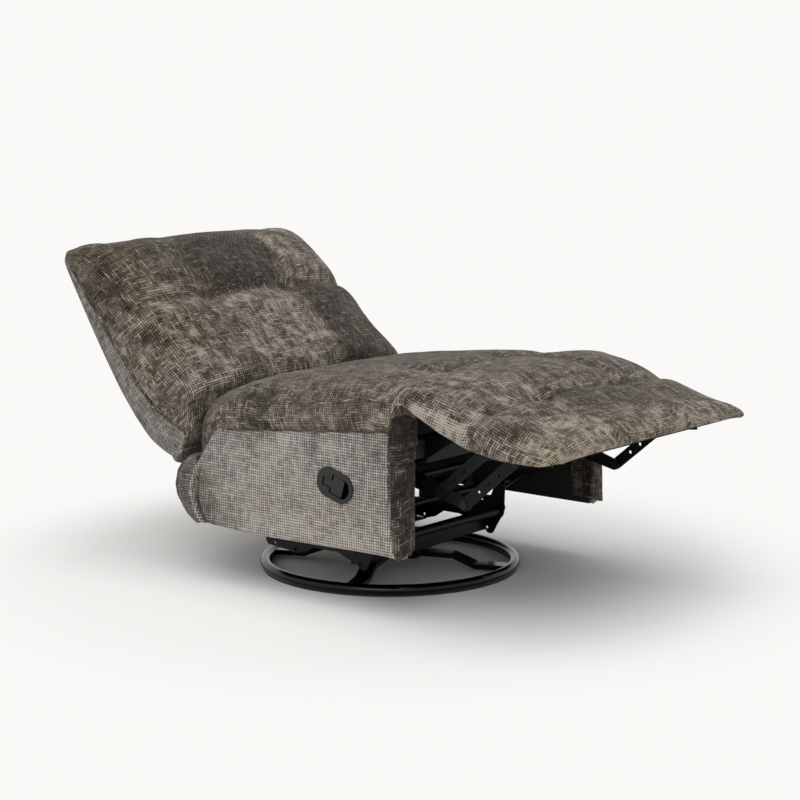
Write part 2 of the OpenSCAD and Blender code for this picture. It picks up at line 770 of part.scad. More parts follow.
// Depth of the quilting at a place (x, v) of a pad with its rows of tufts
function row_dip(v, rows, w) = max([for (r = rows) dip(v - r, w)]);
function quilt(x, v, tx, rows, channel, tuft) =
    -channel * max(dip(abs(x) - tx, channel_w), row_dip(v, rows, channel_w))
    - tuft * dip(abs(x) - tx, tuft_w) * row_dip(v, rows, tuft_w);
function edge_round(s) = edge_share + (1 - edge_share) * sqrt(max(0, 1 - pow(abs(s), pad_edge_power)));
// Height of a pad's rounded cross-section at a share of its half width
pad_power = 3.2;
back_power = 5;
pad_side_share = 0.14;
function round_off(s, power) = pow(max(0, 1 - pow(abs(s), power)), 1 / power);
function pad_round(s) = pad_side_share + (1 - pad_side_share) * round_off(s, pad_power);

// Places across a pad of half width w, as shares: fine at its sides and at the step of its underside
function across(w) = let (step = side_step_x / w,
        inner = [for (i = [1:pad_columns]) 1 - 2 * i / (pad_columns + 1)])
    concat([-1, -0.985, -0.945, -step - step_share, -step], reverse([for (k = inner) k * step]),
        [step, step + step_share, 0.945, 0.985, 1]);

// One ring of a pad: a top row and a bottom row in the side plane, spread over the width.
// bottom_out is the bottom under the overhanging sides.
function pad_ring(top, bottom, bottom_out, half_w, crown, rows, v) =
    let (
        shares = across(half_w),
        up = (top - bottom_out) / norm(top - bottom_out),
        tops = [for (s = shares)
            let (x = s * half_w,
                lift = crown == 0 ? 0
                    : crown * (1 - s * s) + quilt(x, v, tuft_x, rows, channel_depth, tuft_depth),
                p = bottom_out + (top - bottom_out) * pad_round(s) + up * pad_round(s) * lift)
            [x, p[0], p[1]]],
        unders = [for (s = shares)
            let (under = abs(s) * half_w > side_step_x + overrun ? bottom_out : bottom)
            [s * half_w, under[0], under[1]]])
    concat(tops, reverse(unders));

// Profile of the seat pad's top, as shares of its length from the rear and of its height
seat_top_share = [[0, 0.3], [0.03, 0.38], [0.107, 0.5], [0.19, 0.62], [0.27, 0.7], [0.347, 0.77], [0.44, 0.82],
    [0.53, 0.88], [0.61, 0.925], [0.68, 0.955], [0.73, 0.97], [0.768, 0.98], [0.806, 0.985], [0.85, 0.99],
    [0.893, 1], [0.9, 1], [0.95, 1]];
flap_r = pad_bottom_z + seat_pad_t - foot_z;
seat_len = seat_rear_y - foot_y;
flap_from_y = panel_front_y + board_inset;

function seat_station(s) =
    let (y = seat_rear_y - s[0] * seat_len, z = pad_bottom_z + s[1] * seat_pad_t,
        flap = y < flap_from_y,
        inner = flap ? foot_z + nose_core_r : pad_bottom_z,
        outer = flap ? foot_z + nose_core_r : seam_z(y) + seam_gap)
    pad_ring([y, z], [y, inner], [y, outer], pad_half_w, pad_crown, [seat_tuft_y], y);

// A ring of the seat's nose, which is rolled round the footrest pivot
function nose_station(r, a, crown) =
    pad_ring(foot_pivot + polar(r, a), foot_pivot + polar(nose_core_r, a), foot_pivot + polar(nose_core_r, a),
        pad_half_w, crown, [seat_rear_y], foot_y);

module seat_cushion() {
    color([0.36, 0.33, 0.3]) ring_loft(concat(
        [for (s = seat_top_share) seat_station(s)],
        [nose_station(flap_r, nose_start, pad_crown)],
        [for (i = [0:nose_steps])
            nose_station(nose_r,
                nose_start + nose_turn + (nose_end - nose_start - nose_turn) * i / nose_steps, 0)]));
}

// The footrest pad lies over the nose with its flap, then runs out to its tip. Each row is
// [top y, top z, bottom y, bottom z] as shares of the pad's length, from its pivot.
foot_share = [[-0.33, 0.212, -0.26, -0.018], [-0.38, 0.197, -0.33, -0.04], [-0.45, 0.177, -0.42, -0.05],
    [-0.54, 0.146, -0.52, -0.068], [-0.64, 0.108, -0.62, -pad_under_share],
    [-0.74, 0.073, -0.73, -pad_under_share],
    [-0.84, 0.038, -0.84, -pad_under_share], [-0.92, 0.01, -0.92, -pad_under_share],
    [-0.97, -0.01, -0.965, -pad_under_share],
    [-0.992, -0.026, -0.99, -0.07], [-1, -0.04, -1, -0.06]];
// Top of the flap, in shares of the pad's length, and how far round the nose its underside comes each time
flap_share = [[-0.028, 0.287], [-0.08, 0.283], [-0.145, 0.272], [-0.21, 0.254], [-0.27, 0.234]];
flap_step_share = 0.22;
flap_step = flap_step_share * (flap_end - flap_start);
flap_in_r = nose_r / cos(flap_step / 2) + 2 * gap;
tip_draw = 8;

function foot_station(p) =
    let (top = foot_pivot + footrest_len * [p[0], p[1]], bottom = foot_pivot + footrest_len * [p[2], p[3]])
    pad_ring(top, bottom, bottom, pad_half_w - tip_draw * pow(-p[0], 3),
        pad_crown * (1 + p[0]) + overrun, [foot_tuft_y], top[0]);

function flap_station(i) =
    let (p = flap_share[i], inner = foot_pivot + polar(flap_in_r, flap_start + i * flap_step),
        top = foot_pivot + (i == 0 ? polar(flap_r, flap_start) : footrest_len * p))
    pad_ring(top, inner, inner, pad_half_w, pad_crown, [foot_tuft_y], top[0]);

module footrest_cushion() {
    color([0.36, 0.33, 0.3]) ring_loft(concat(
        [for (i = [0:len(flap_share) - 1]) flap_station(i)],
        [for (p = foot_share) foot_station(p)]));
}

// SEAT BOX

module seat_rails() {
    long = rail_rear_y - rail_front_y;
    color([0.72, 0.6, 0.42]) {
        for (side = [-1, 1]) on_side(side)
            translate([plate_x - rail_t - weld_gap, rail_front_y, rail_bottom_z]) cube([rail_t, long, rail_h]);
        for (y = [rail_front_y, rail_rear_y - end_rail_t])
            translate([rail_t + weld_gap * 2 - plate_x, y, rail_bottom_z])
                cube([2 * (plate_x - rail_t - 2 * weld_gap), end_rail_t, rail_h]);
    }
}

// Flat zigzag of a seat spring, from the front rail to the rear rail
function zigzag(way) = [for (i = [0:spring_bends])
    [(i % 2 == 0 ? -1 : 1) * spring_swing / 2 + way * spring_band / 2,
        rail_front_y + end_rail_t / 2 + i * (rail_rear_y - rail_front_y - end_rail_t) / spring_bends]];

module seat_springs() {
    color([0.5, 0.5, 0.52]) for (i = [0:spring_count - 1])
        translate([(i - (spring_count - 1) / 2) * 2 * (plate_x - rail_t) / (spring_count + 1), 0, deck_z])
            linear_extrude(spring_t) polygon(concat(zigzag(1), reverse(zigzag(-1))));
}

module dust_cover() {
    color([0.05, 0.05, 0.05]) translate([weld_gap - plate_x, rail_front_y, rail_bottom_z - dust_t])
        cube([2 * (plate_x - weld_gap), rail_rear_y - rail_front_y, dust_t]);
}

// Wooden blocks that hold the side boards off the mechanism plates
block_y = [[-326, -296], [96, 200], [60, 118]];
block_z = [[342, 382], [336, 382], [118, 146]];
function block_top(i) = min(block_z[i][1], panel_top(block_y[i][1]) - board_inset);

module panel_blocks() {
    color([0.72, 0.6, 0.42]) for (side = [-1, 1]) on_side(side)
        for (i = [0:len(block_y) - 1])
            translate([plate_out_x + weld_gap, block_y[i][0], block_z[i][0]])
                cube([board_x - plate_out_x - 2 * weld_gap, block_y[i][1] - block_y[i][0],
                    block_top(i) - block_z[i][0]]);
}

module board_outline() {
    y0 = panel_front_y + board_inset;
    y1 = panel_rear_y - board_inset;
    z0 = panel_bottom_z + board_inset;
    corner_share = [1, 0.75, 0.5, 0.25, 0];
    tops = [for (s = corner_share) let (y = corner_y + s * (y1 - corner_y)) [y, panel_top(y) - board_inset]];
    polygon(concat([[y0, z0], [y1, z0]], tops, [[y0, seam_z(y0) - board_inset]]));
}

module side_board(side) {
    color([0.1, 0.1, 0.1]) on_side(side) difference() {
        side_plate(board_x, board_t) board_outline();
        if (side < 0) cross_bar(cable_hole, board_x - overrun, board_x + board_t + overrun, cable_hole_r);
    }
}

// Padded outer skin of a side panel: a low crown, round edges
side_along_share = [0, 0.012, 0.04, 0.1, 0.2, 0.35, 0.5, 0.65, 0.8, 0.87, 0.9, 0.93, 0.96, 0.988, 1];
side_rise_share = [0, 0.015, 0.05, 0.15, 0.35, 0.65, 0.85, 0.95, 0.985, 1];
side_edge_share = 0.45;

function side_ring(t) =
    let (y = panel_front_y + t * (panel_rear_y - panel_front_y),
        top = panel_top(y) - gap, low = panel_bottom_z,
        inner = board_x + board_t + weld_gap, full = panel_x - inner)
    concat(
        [for (s = side_rise_share)
            [inner + full * (side_edge_share
                + (1 - side_edge_share) * edge_round(2 * t - 1) * edge_round(2 * s - 1)),
                y, low + s * (top - low)]],
        [for (s = reverse(side_rise_share)) [inner, y, low + s * (top - low)]]);

module side_upholstery(side) {
    color([0.47, 0.45, 0.42]) difference() {
        on_side(side) ring_loft([for (t = side_along_share) side_ring(t)]);
        if (side < 0) on_handle() translate([0, 0, -cup_depth - bezel_t])
            linear_extrude(cup_depth + 2 * bezel_t) polygon(oval(cup_l + 2 * gap, cup_w + 2 * gap, oval_steps));
        if (side < 0) on_side(side) cross_bar(cable_hole, board_x, panel_x - cup_depth, cable_hole_r);
    }
}

module rear_board() {
    low = panel_bottom_z + board_inset;
    color([0.1, 0.1, 0.1]) translate([-board_x + gap, panel_rear_y - board_t, low])
        cube([2 * (board_x - gap), board_t, rail_bottom_z - arm_neck - board_inset - low]);
}

// Padded rear skirt that closes the seat box below the back: its rear outline as
// [depth, height], and how it draws in at its two ends
skirt_share = [[0.3, 0], [0.82, 0.13], [1, 0.4], [0.96, 0.7], [0.7, 0.92], [0.25, 1]];
skirt_x_share = [-1, -0.985, -0.93, -0.6, -0.2, 0.2, 0.6, 0.93, 0.985, 1];
skirt_end_share = [0.45, 0.8, 0.98, 1, 1, 1, 1, 0.98, 0.8, 0.45];
skirt_deep = 60;
skirt_top_z = 300;

module rear_skirt() {
    high = skirt_top_z - panel_bottom_z;
    color([0.42, 0.4, 0.37]) ring_loft([for (i = [0:len(skirt_x_share) - 1])
        let (x = skirt_x_share[i] * -panel_x, e = skirt_end_share[i])
        concat(
            [for (p = skirt_share)
                [x, panel_rear_y + gap + p[0] * skirt_deep * e,
                    panel_bottom_z + high * (0.5 + (p[1] - 0.5) * e)]],
            [for (p = reverse(skirt_share))
                [x, panel_rear_y + gap, panel_bottom_z + high * (0.5 + (p[1] - 0.5) * e)]])]);
}

// HANDLE

oval_steps = 48;
cup_l = handle_l - 2 * cup_inset;
cup_w = handle_w - 2 * cup_inset;
paddle_t = 5;
paddle_slack = 1.5;
paddle_hinge_u = 26;
paddle_pin_r = 2;
paddle_lug_t = 4;
paddle_pin_l = 2 * (paddle_tongue_w + paddle_slack + paddle_lug_t);
paddle_shift = 1.3;
paddle_split_u = 8;
well_r = 23;
well_u = -19.5;

// Handle frame: u along the oval, w straight out of the side panel
module handle_frame(tilt) {
    translate([-panel_x, handle_y, handle_z]) rotate([tilt - 90, 0, 0]) rotate([0, -90, 0]) children();
}

module on_handle() {
    handle_frame(handle_tilt) children();
}

// Outline of the paddle: a wide head that the fingers pull and a tongue that is hinged
module paddle_outline(slack) {
    union() {
        translate([paddle_split_u - paddle_head_l - slack, -paddle_head_w - slack])
            square([paddle_head_l + 3 * slack, 2 * (paddle_head_w + slack)]);
        translate([paddle_split_u - overrun, paddle_shift - paddle_tongue_w - slack])
            square([paddle_tongue_l + overrun + 2 * slack, 2 * (paddle_tongue_w + slack)]);
    }
}

module handle_bezel() {
    color([0.05, 0.05, 0.055]) difference() {
        union() {
            on_handle() linear_extrude(bezel_t) polygon(oval(handle_l, handle_w, oval_steps));
            on_handle() translate([0, 0, -cup_depth]) linear_extrude(cup_depth + overrun)
                polygon(oval(cup_l, cup_w, oval_steps));
        }
        on_handle() translate([0, 0, cup_wall - cup_depth]) linear_extrude(cup_depth - 2 * cup_wall)
            polygon(oval(cup_l - 2 * cup_wall, cup_w - 2 * cup_wall, oval_steps));
        handle_frame(paddle_tilt) translate([0, 0, -cup_wall - overrun])
            linear_extrude(cup_wall + bezel_t + 2 * overrun) paddle_outline(paddle_slack);
        handle_frame(paddle_tilt) translate([well_u, 0, -cup_wall - overrun])
            linear_extrude(cup_wall + bezel_t + 2 * overrun)
                polygon(arc([0, 0], well_r, 90, 270, link_steps * 2));
    }
    color([0.05, 0.05, 0.055]) handle_frame(paddle_tilt) difference() {
        for (side = [0, 1]) translate([paddle_hinge_u, paddle_shift, 0]) mirror([0, side, 0])
            translate([-paddle_lug_t, paddle_tongue_w + paddle_slack, paddle_hinge_w - paddle_lug_t])
                cube([2 * paddle_lug_t, paddle_lug_t, paddle_lug_t - paddle_hinge_w - cup_wall + overrun]);
        translate([paddle_hinge_u, paddle_shift, paddle_hinge_w]) rotate([90, 0, 0])
            cylinder(h = paddle_pin_l + 2 * overrun, r = paddle_pin_r + fixed_fit, center = true, $fn = 32);
    }
}

module release_paddle() {
    color([0.08, 0.08, 0.085]) handle_frame(paddle_tilt) difference() {
        union() {
            translate([0, 0, bezel_t / 2 - paddle_t]) linear_extrude(paddle_t) paddle_outline(0);
            translate([paddle_hinge_u - paddle_t, paddle_shift - paddle_tongue_w, bezel_t / 2 - 2 * paddle_t])
                cube([2 * paddle_t, 2 * paddle_tongue_w, paddle_t + overrun]);
        }
        translate([paddle_hinge_u, paddle_shift, paddle_hinge_w]) rotate([90, 0, 0])
            cylinder(h = paddle_pin_l, r = paddle_pin_r + running_fit, center = true, $fn = 32);
    }
}

paddle_hinge_w = bezel_t / 2 - 1.4 * paddle_t;

module paddle_pin() {
    color([0.55, 0.55, 0.57]) handle_frame(paddle_tilt)
        translate([paddle_hinge_u, paddle_shift, paddle_hinge_w]) rotate([90, 0, 0])
            cylinder(h = paddle_pin_l, r = paddle_pin_r, center = true, $fn = 32);
}

module latch_pawl() {
    tip = drive_pivot + polar(pawl_tip_r, pawl_tip_angle);
    color([0.3, 0.3, 0.31]) on_side(-1) difference() {
        side_plate(link_x, steel_t) polygon(concat(
            [tip, tip + pawl_nose],
            arc(pawl_pivot, pawl_r, 250, 300, window_steps),
            arc(pawl_tail, pawl_r / 2, -40, 110, window_steps),
            arc(pawl_pivot, pawl_r, 110, 150, window_steps)));
        link_bore(pawl_pivot, link_x, pawl_pin_r + running_fit);
        link_bore(pawl_tail, link_x, pawl_pin_r / 2);
    }
}

// Release cable in its sheath, from the back of the cup to the latch
function route_point(route, t) =
    let (i = min(floor(t), len(route) - 2), f = t - i,
        p0 = route[max(i - 1, 0)], p1 = route[i], p2 = route[i + 1], p3 = route[min(i + 2, len(route) - 1)])
    0.5 * (2 * p1 + (p2 - p0) * f + (2 * p0 - 5 * p1 + 4 * p2 - p3) * f * f
        + (3 * p1 - p0 - 3 * p2 + p3) * f * f * f);
function unit(v) = v / norm(v);
function tube_rings(route, r, sides, per) =
    let (n = (len(route) - 1) * per)
    [for (k = [0:n])
        let (t = k / per, p = route_point(route, t),
            d = unit(route_point(route, min(t + 0.05, len(route) - 1)) - route_point(route, max(t - 0.05, 0))),
            side = unit(cross(d, [0, 1, 0])), up = cross(side, d))
        [for (j = [0:sides - 1]) p + r * (cos(360 * j / sides) * side + sin(360 * j / sides) * up)]];

module release_cable() {
    color([0.04, 0.04, 0.04]) ring_loft(tube_rings(cable_route, cable_d / 2, cable_sides, cable_steps));
}

// BACK, in its own frame: origin at the pivot, z up along the back, -y to the front

post_w = 30;
post_t = 30;
post_y = back_pad_t + 3;
post_share = [-0.03, 0.8333];
post_z = [post_share[0] * back_len, post_share[1] * back_len];
back_rail_h = 46;
web_t = 2;
web_h = 50;
web_share = [0.27, 0.52, 0.77];
cover_front_y = post_y + post_t + gap;
cover_side_y = back_pad_t + 2 * gap;
cover_step_x = link_out_x + post_w + 2 * board_inset;
pocket_space = 6;
pocket_x = [plate_x - pocket_space, link_out_x + pocket_space];
pocket_top = 36;

module on_back() {
    translate([0, back_y, back_z]) rotate([-back_lean, 0, 0]) children();
}

module back_posts() {
    color([0.72, 0.6, 0.42]) on_back() for (side = [-1, 1]) on_side(side)
        translate([link_out_x + gap, post_y, post_z[0]]) cube([post_w, post_t, post_z[1] - post_z[0]]);
}

module back_rails() {
    x0 = link_out_x + gap - weld_gap;
    color([0.72, 0.6, 0.42]) on_back() {
        translate([-x0, post_y, post_z[1] - back_rail_h]) cube([2 * x0, post_t, back_rail_h]);
        translate([-link_x + gap, post_y, post_z[0] + rail_t]) cube([2 * (link_x - gap), post_t, back_rail_h]);
    }
}

module back_webbing() {
    x0 = link_out_x + gap + post_w;
    color([0.15, 0.15, 0.15]) on_back() for (share = web_share)
        translate([-x0, post_y - web_t, share * post_z[1]]) cube([2 * x0, web_t - weld_gap, web_h]);
}

bracket_top_z = 215;
module back_brackets() {
    color([0.09, 0.09, 0.095]) on_back() for (side = [-1, 1]) on_side(side) difference() {
        side_plate(link_x, steel_t) polygon(concat(
            arc([0, 0], eye_r, 180, 280, link_steps),
            [[post_y, -eye_r / 2], [post_y + post_t - gap, -eye_r / 2], [post_y + post_t - gap, bracket_top_z],
                [post_y + gap, bracket_top_z], [post_y + gap, 1.4 * eye_r]],
            arc([0, 0], eye_r, 80, 170, link_steps)));
        link_bore([0, 0], link_x, pivot_r + running_fit);
        for (share = link_hole_share)
            link_bore([post_y + post_t / 2, share * bracket_top_z], link_x, hole_r);
    }
}

// Front face of the back along its height: [height, setback] as shares of the back's
// length and of the front cushion's depth
back_face_share = [[-0.13, 0.22], [-0.105, 0.09], [-0.07, 0.02], [-0.02, 0], [0.03, -0.02], [0.06, -0.22],
    [0.085, -0.42], [0.12, -0.48], [0.2, -0.47], [0.28, -0.42], [0.36, -0.38], [0.42, -0.35], [0.465, -0.33],
    [0.5, -0.31], [0.53, -0.29], [0.56, -0.27], [0.62, -0.23], [0.69, -0.17], [0.76, -0.1], [0.83, -0.01],
    [0.89, 0.12], [0.935, 0.28], [0.96, 0.43], [0.97, 0.54]];
back_channel = 15;
back_tuft = 20;
function back_half(t) = back_half_w + (back_top_half_w - back_half_w) * pow(max(t, 0), 2);
back_side_share = 0.35;

// One ring of the back cushion: its quilted front row and its flat rear row
function back_ring(s) =
    let (z = s[0] * back_len, front = s[1] * back_pad_t, w = back_half(s[0]), shares = across(w),
        low = min(1, max(0, (s[0] - back_face_share[0][0]) / 0.13)),
        high = min(1, max(0, (0.97 - s[0]) / 0.25)))
    concat(
        [for (k = shares)
            let (x = k * w, full = round_off(k, back_power),
                puff = (back_crown * (1 - pow(k, 4))
                    + quilt(x, z, back_tuft_x, [back_tuft_z], back_channel, back_tuft)) * min(low, high))
            [x, back_pad_t - (back_pad_t - front) * (back_side_share + (1 - back_side_share) * full)
                - full * puff, z]],
        [for (k = reverse(shares)) [k * w, back_pad_t, z]]);

module back_cushion() {
    color([0.36, 0.33, 0.3]) on_back() difference() {
        ring_loft([for (s = back_face_share) reverse(back_ring(s))]);
        for (side = [-1, 1]) on_side(side)
            translate([pocket_x[0], -back_pad_t, -back_len])
                cube([pocket_x[1] - pocket_x[0], 2 * back_pad_t + overrun, back_len + pocket_top]);
    }
}

// Padded rear of the back: [height, depth] of its rear face as shares of the back's
// length and of the cover's greatest depth
cover_deep = 206;
cover_share = [[-0.155, 0.73], [-0.145, 0.77], [-0.115, 0.85], [-0.085, 0.91], [-0.07, 0.94], [0.035, 1],
    [0.17, 1.01], [0.32, 0.995], [0.46, 0.94], [0.6, 0.86], [0.74, 0.79], [0.835, 0.735], [0.845, 0.73],
    [0.92, 0.68], [0.965, 0.63], [0.99, 0.59], [1, 0.55]];
cover_edge_share = 0.4;

function cover_ring(s) =
    let (z = s[0] * back_len, rear = s[1] * cover_deep, w = back_half(s[0]) - overrun,
        open = z > post_z[0] - rail_t && z < post_z[1] + board_inset,
        shares = cover_across(w))
    concat(
        [for (k = shares)
            [k * w, cover_side_y + (rear - cover_side_y)
                * (cover_edge_share + (1 - cover_edge_share) * edge_round(k)), z]],
        [for (k = reverse(shares))
            [k * w, open && abs(k) * w < cover_step_x + overrun ? cover_front_y : cover_side_y, z]]);
function cover_across(w) = let (step = cover_step_x / w)
    [-1, -0.985, -0.94, -step - step_share, -step, -0.6, -0.2, 0.2, 0.6, step, step + step_share,
        0.94, 0.985, 1];

module back_cover() {
    color([0.42, 0.4, 0.37]) on_back() ring_loft([for (s = cover_share) cover_ring(s)]);
}

base_ring();
floor_strip();
base_arm(base_turn);  // base_arm_1
base_arm(base_turn + 90);  // base_arm_2
base_arm(base_turn + 180);  // base_arm_3
base_arm(base_turn + 270);  // base_arm_4
hub_plate();
hub_bolts();
bearing_lower_race();
bearing_balls();
bearing_upper_race();
king_bolt();
king_nut();
swivel_bush();
swivel_top_plate();
top_plate_bolts();
front_cross_member();
rear_cross_member();
cross_tube();
stretcher_rods();
mechanism_plate(-1);  // mechanism_plate_right
mechanism_plate(1);  // mechanism_plate_left
end_bracket(-1);  // end_bracket_right
end_bracket(1);  // end_bracket_left
main_pivots();
drive_link(-1);  // drive_link_right
drive_link(1);  // drive_link_left
support_link(-1);  // support_link_right
support_link(1);  // support_link_left
guide_link(-1);  // guide_link_right
guide_link(1);  // guide_link_left
link_pins(-1);  // link_pins_right
link_pins(1);  // link_pins_left
footrest_bracket(-1);  // footrest_bracket_right
footrest_bracket(1);  // footrest_bracket_left
bracket_pins();
footrest_board();
footrest_cushion();
seat_rails();
seat_springs();
dust_cover();
seat_cushion();
panel_blocks();
side_board(-1);  // side_board_right
side_board(1);  // side_board_left
side_upholstery(-1);  // side_upholstery_right
side_upholstery(1);  // side_upholstery_left
rear_board();
rear_skirt();
handle_bezel();
release_paddle();
paddle_pin();
latch_pawl();
release_cable();
back_posts();
back_rails();
back_webbing();
back_brackets();
back_cushion();
back_cover();
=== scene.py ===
# %% [markdown]
# # A swivel recliner on a ring base, dressed in woven chenille
#
# The hard parts of the chair come in as solids: ring, arms, bearing, mechanism, frame and handle. This
# lesson keeps them where they are and gives them their finishes. The soft parts are made again here, as
# an upholsterer would: a long quilted pad over seat and footrest, a quilted back with its padded shell,
# two boxed side panels, a skirt at the rear. Each cell makes one of them.

# %% Load the chair
import json
import math
import bpy
import numpy as np
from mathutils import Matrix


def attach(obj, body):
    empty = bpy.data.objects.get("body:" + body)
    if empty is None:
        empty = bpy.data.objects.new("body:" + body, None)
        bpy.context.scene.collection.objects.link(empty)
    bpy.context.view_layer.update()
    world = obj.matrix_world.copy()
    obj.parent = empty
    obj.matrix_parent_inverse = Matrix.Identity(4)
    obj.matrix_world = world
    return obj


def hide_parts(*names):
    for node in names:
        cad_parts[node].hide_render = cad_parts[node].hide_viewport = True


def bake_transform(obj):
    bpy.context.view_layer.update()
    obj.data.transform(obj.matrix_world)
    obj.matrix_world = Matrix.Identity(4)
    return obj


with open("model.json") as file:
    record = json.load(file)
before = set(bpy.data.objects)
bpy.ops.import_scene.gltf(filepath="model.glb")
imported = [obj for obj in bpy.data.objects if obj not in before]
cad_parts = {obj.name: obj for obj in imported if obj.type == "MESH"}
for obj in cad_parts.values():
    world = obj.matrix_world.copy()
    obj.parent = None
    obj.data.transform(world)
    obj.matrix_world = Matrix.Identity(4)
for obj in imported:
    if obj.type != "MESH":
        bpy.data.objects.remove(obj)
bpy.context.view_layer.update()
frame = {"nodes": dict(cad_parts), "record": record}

# %% [markdown]
# ## The camera
#
# The chair is seen from its right front corner, a little above seat height, through a long lens. The
# place of the camera was solved from the floor ring, which is a true circle, and the corners of the pads.


# %% Camera
def add_to_scene(name, data):
    """An object that holds a mesh, a lens or a lamp, linked to the scene."""
    made = bpy.data.objects.new(name, data)
    bpy.context.scene.collection.objects.link(made)
    return made


lens = bpy.data.cameras.new("studio_camera")
lens.lens = 88.826
lens.sensor_width = 36
camera = add_to_scene("studio_camera", lens)
camera.location = (-3.55774, -2.91817, 1.14361)
camera.rotation_euler = (math.radians(80.79954), 0, math.radians(-50.93416))
bpy.context.scene.camera = camera
print("camera at", [round(v, 2) for v in camera.location])

# %% [markdown]
# ## Colours and shader nodes
#
# A maker notes a colour as a hex code, as the eye sees it. Blender mixes light in linear values, so one
# function turns each code to linear. A second small function adds a node to a material, sets its
# settings, and either links or fills its inputs, which keeps the materials below short.


# %% Small helpers for materials
def colour(code):
    """Linear red, green, blue and alpha of an sRGB hex code."""
    parts = [int(code[i:i + 2], 16) / 255 for i in (1, 3, 5)]
    return tuple(p / 12.92 if p <= 0.04045 else ((p + 0.055) / 1.055) ** 2.4 for p in parts) + (1.0,)


def put(tree, kind, inputs=None, **settings):
    """Adds one node: its settings by name, its inputs by name, each a value or another node's output."""
    made = tree.nodes.new("ShaderNode" + kind)
    for name, value in settings.items():
        setattr(made, name, value)
    for name, value in (inputs or {}).items():
        if isinstance(value, bpy.types.NodeSocket):
            tree.links.new(value, made.inputs[name])
        else:
            made.inputs[name].default_value = value
    return made


def math_of(tree):
    """A short way to add one math node: the operation, then its values or outputs."""
    def add(operation, *values):
        return put(tree, "Math", dict(enumerate(values)), operation=operation).outputs[0]
    return add


def new_finish(name):
    """An empty material and its node tree."""
    finish = bpy.data.materials.new(name)
    finish.use_nodes = True
    finish.node_tree.nodes.clear()
    return finish, finish.node_tree


def stops(ramp, *pairs):
    """Sets the stops of a colour ramp: a place from 0 to 1 and a hex code for each."""
    bar = ramp.color_ramp
    while len(bar.elements) < len(pairs):
        bar.elements.new(0.5)
    for element, (place, code) in zip(bar.elements, pairs):
        element.position = place
        element.color = colour(code)
    return ramp


print("grey card", [round(v, 3) for v in colour("#808080")])

# %% [markdown]
# ## The chenille
#
# The cover is a crushed chenille: soft pile yarns, woven over and under as warp and weft, with slubs where
# a yarn is thick, and small pits where four yarns meet. The rounded sides of the yarns and the pits get
# painted shade. The pile is laid in different ways, so one block of the quilting looks darker than the
# next, and handled places look pale and brushed. Real yarns here are about 2 mm wide. The camera shows
# about 2.3 mm to a pixel, so the yarns are drawn 6.1 mm apart, as bundles. The weave is drawn in a map
# whose units are metres of cloth, so it keeps its size, and follows the cloth when a pad bends. A second
# attribute, the tone, says for each point how the pile is laid, from dark to brushed, and how
# straw-coloured the yarn is. The tone also carries painted shade in tuft dents, channels, creases and
# folds, and painted highlights on the cloth that rises beside them.

# %% Chenille material
YARN = 0.0061
# how far a yarn wanders, and the size of its bends; then the sizes of the pile's own patterns
WANDER, BENDS = 0.0038, 0.028
PILE, SMUDGE, PATCH, DRIFT = 0.0022, 0.016, 0.050, 0.20
STRAW = "#b3a878"


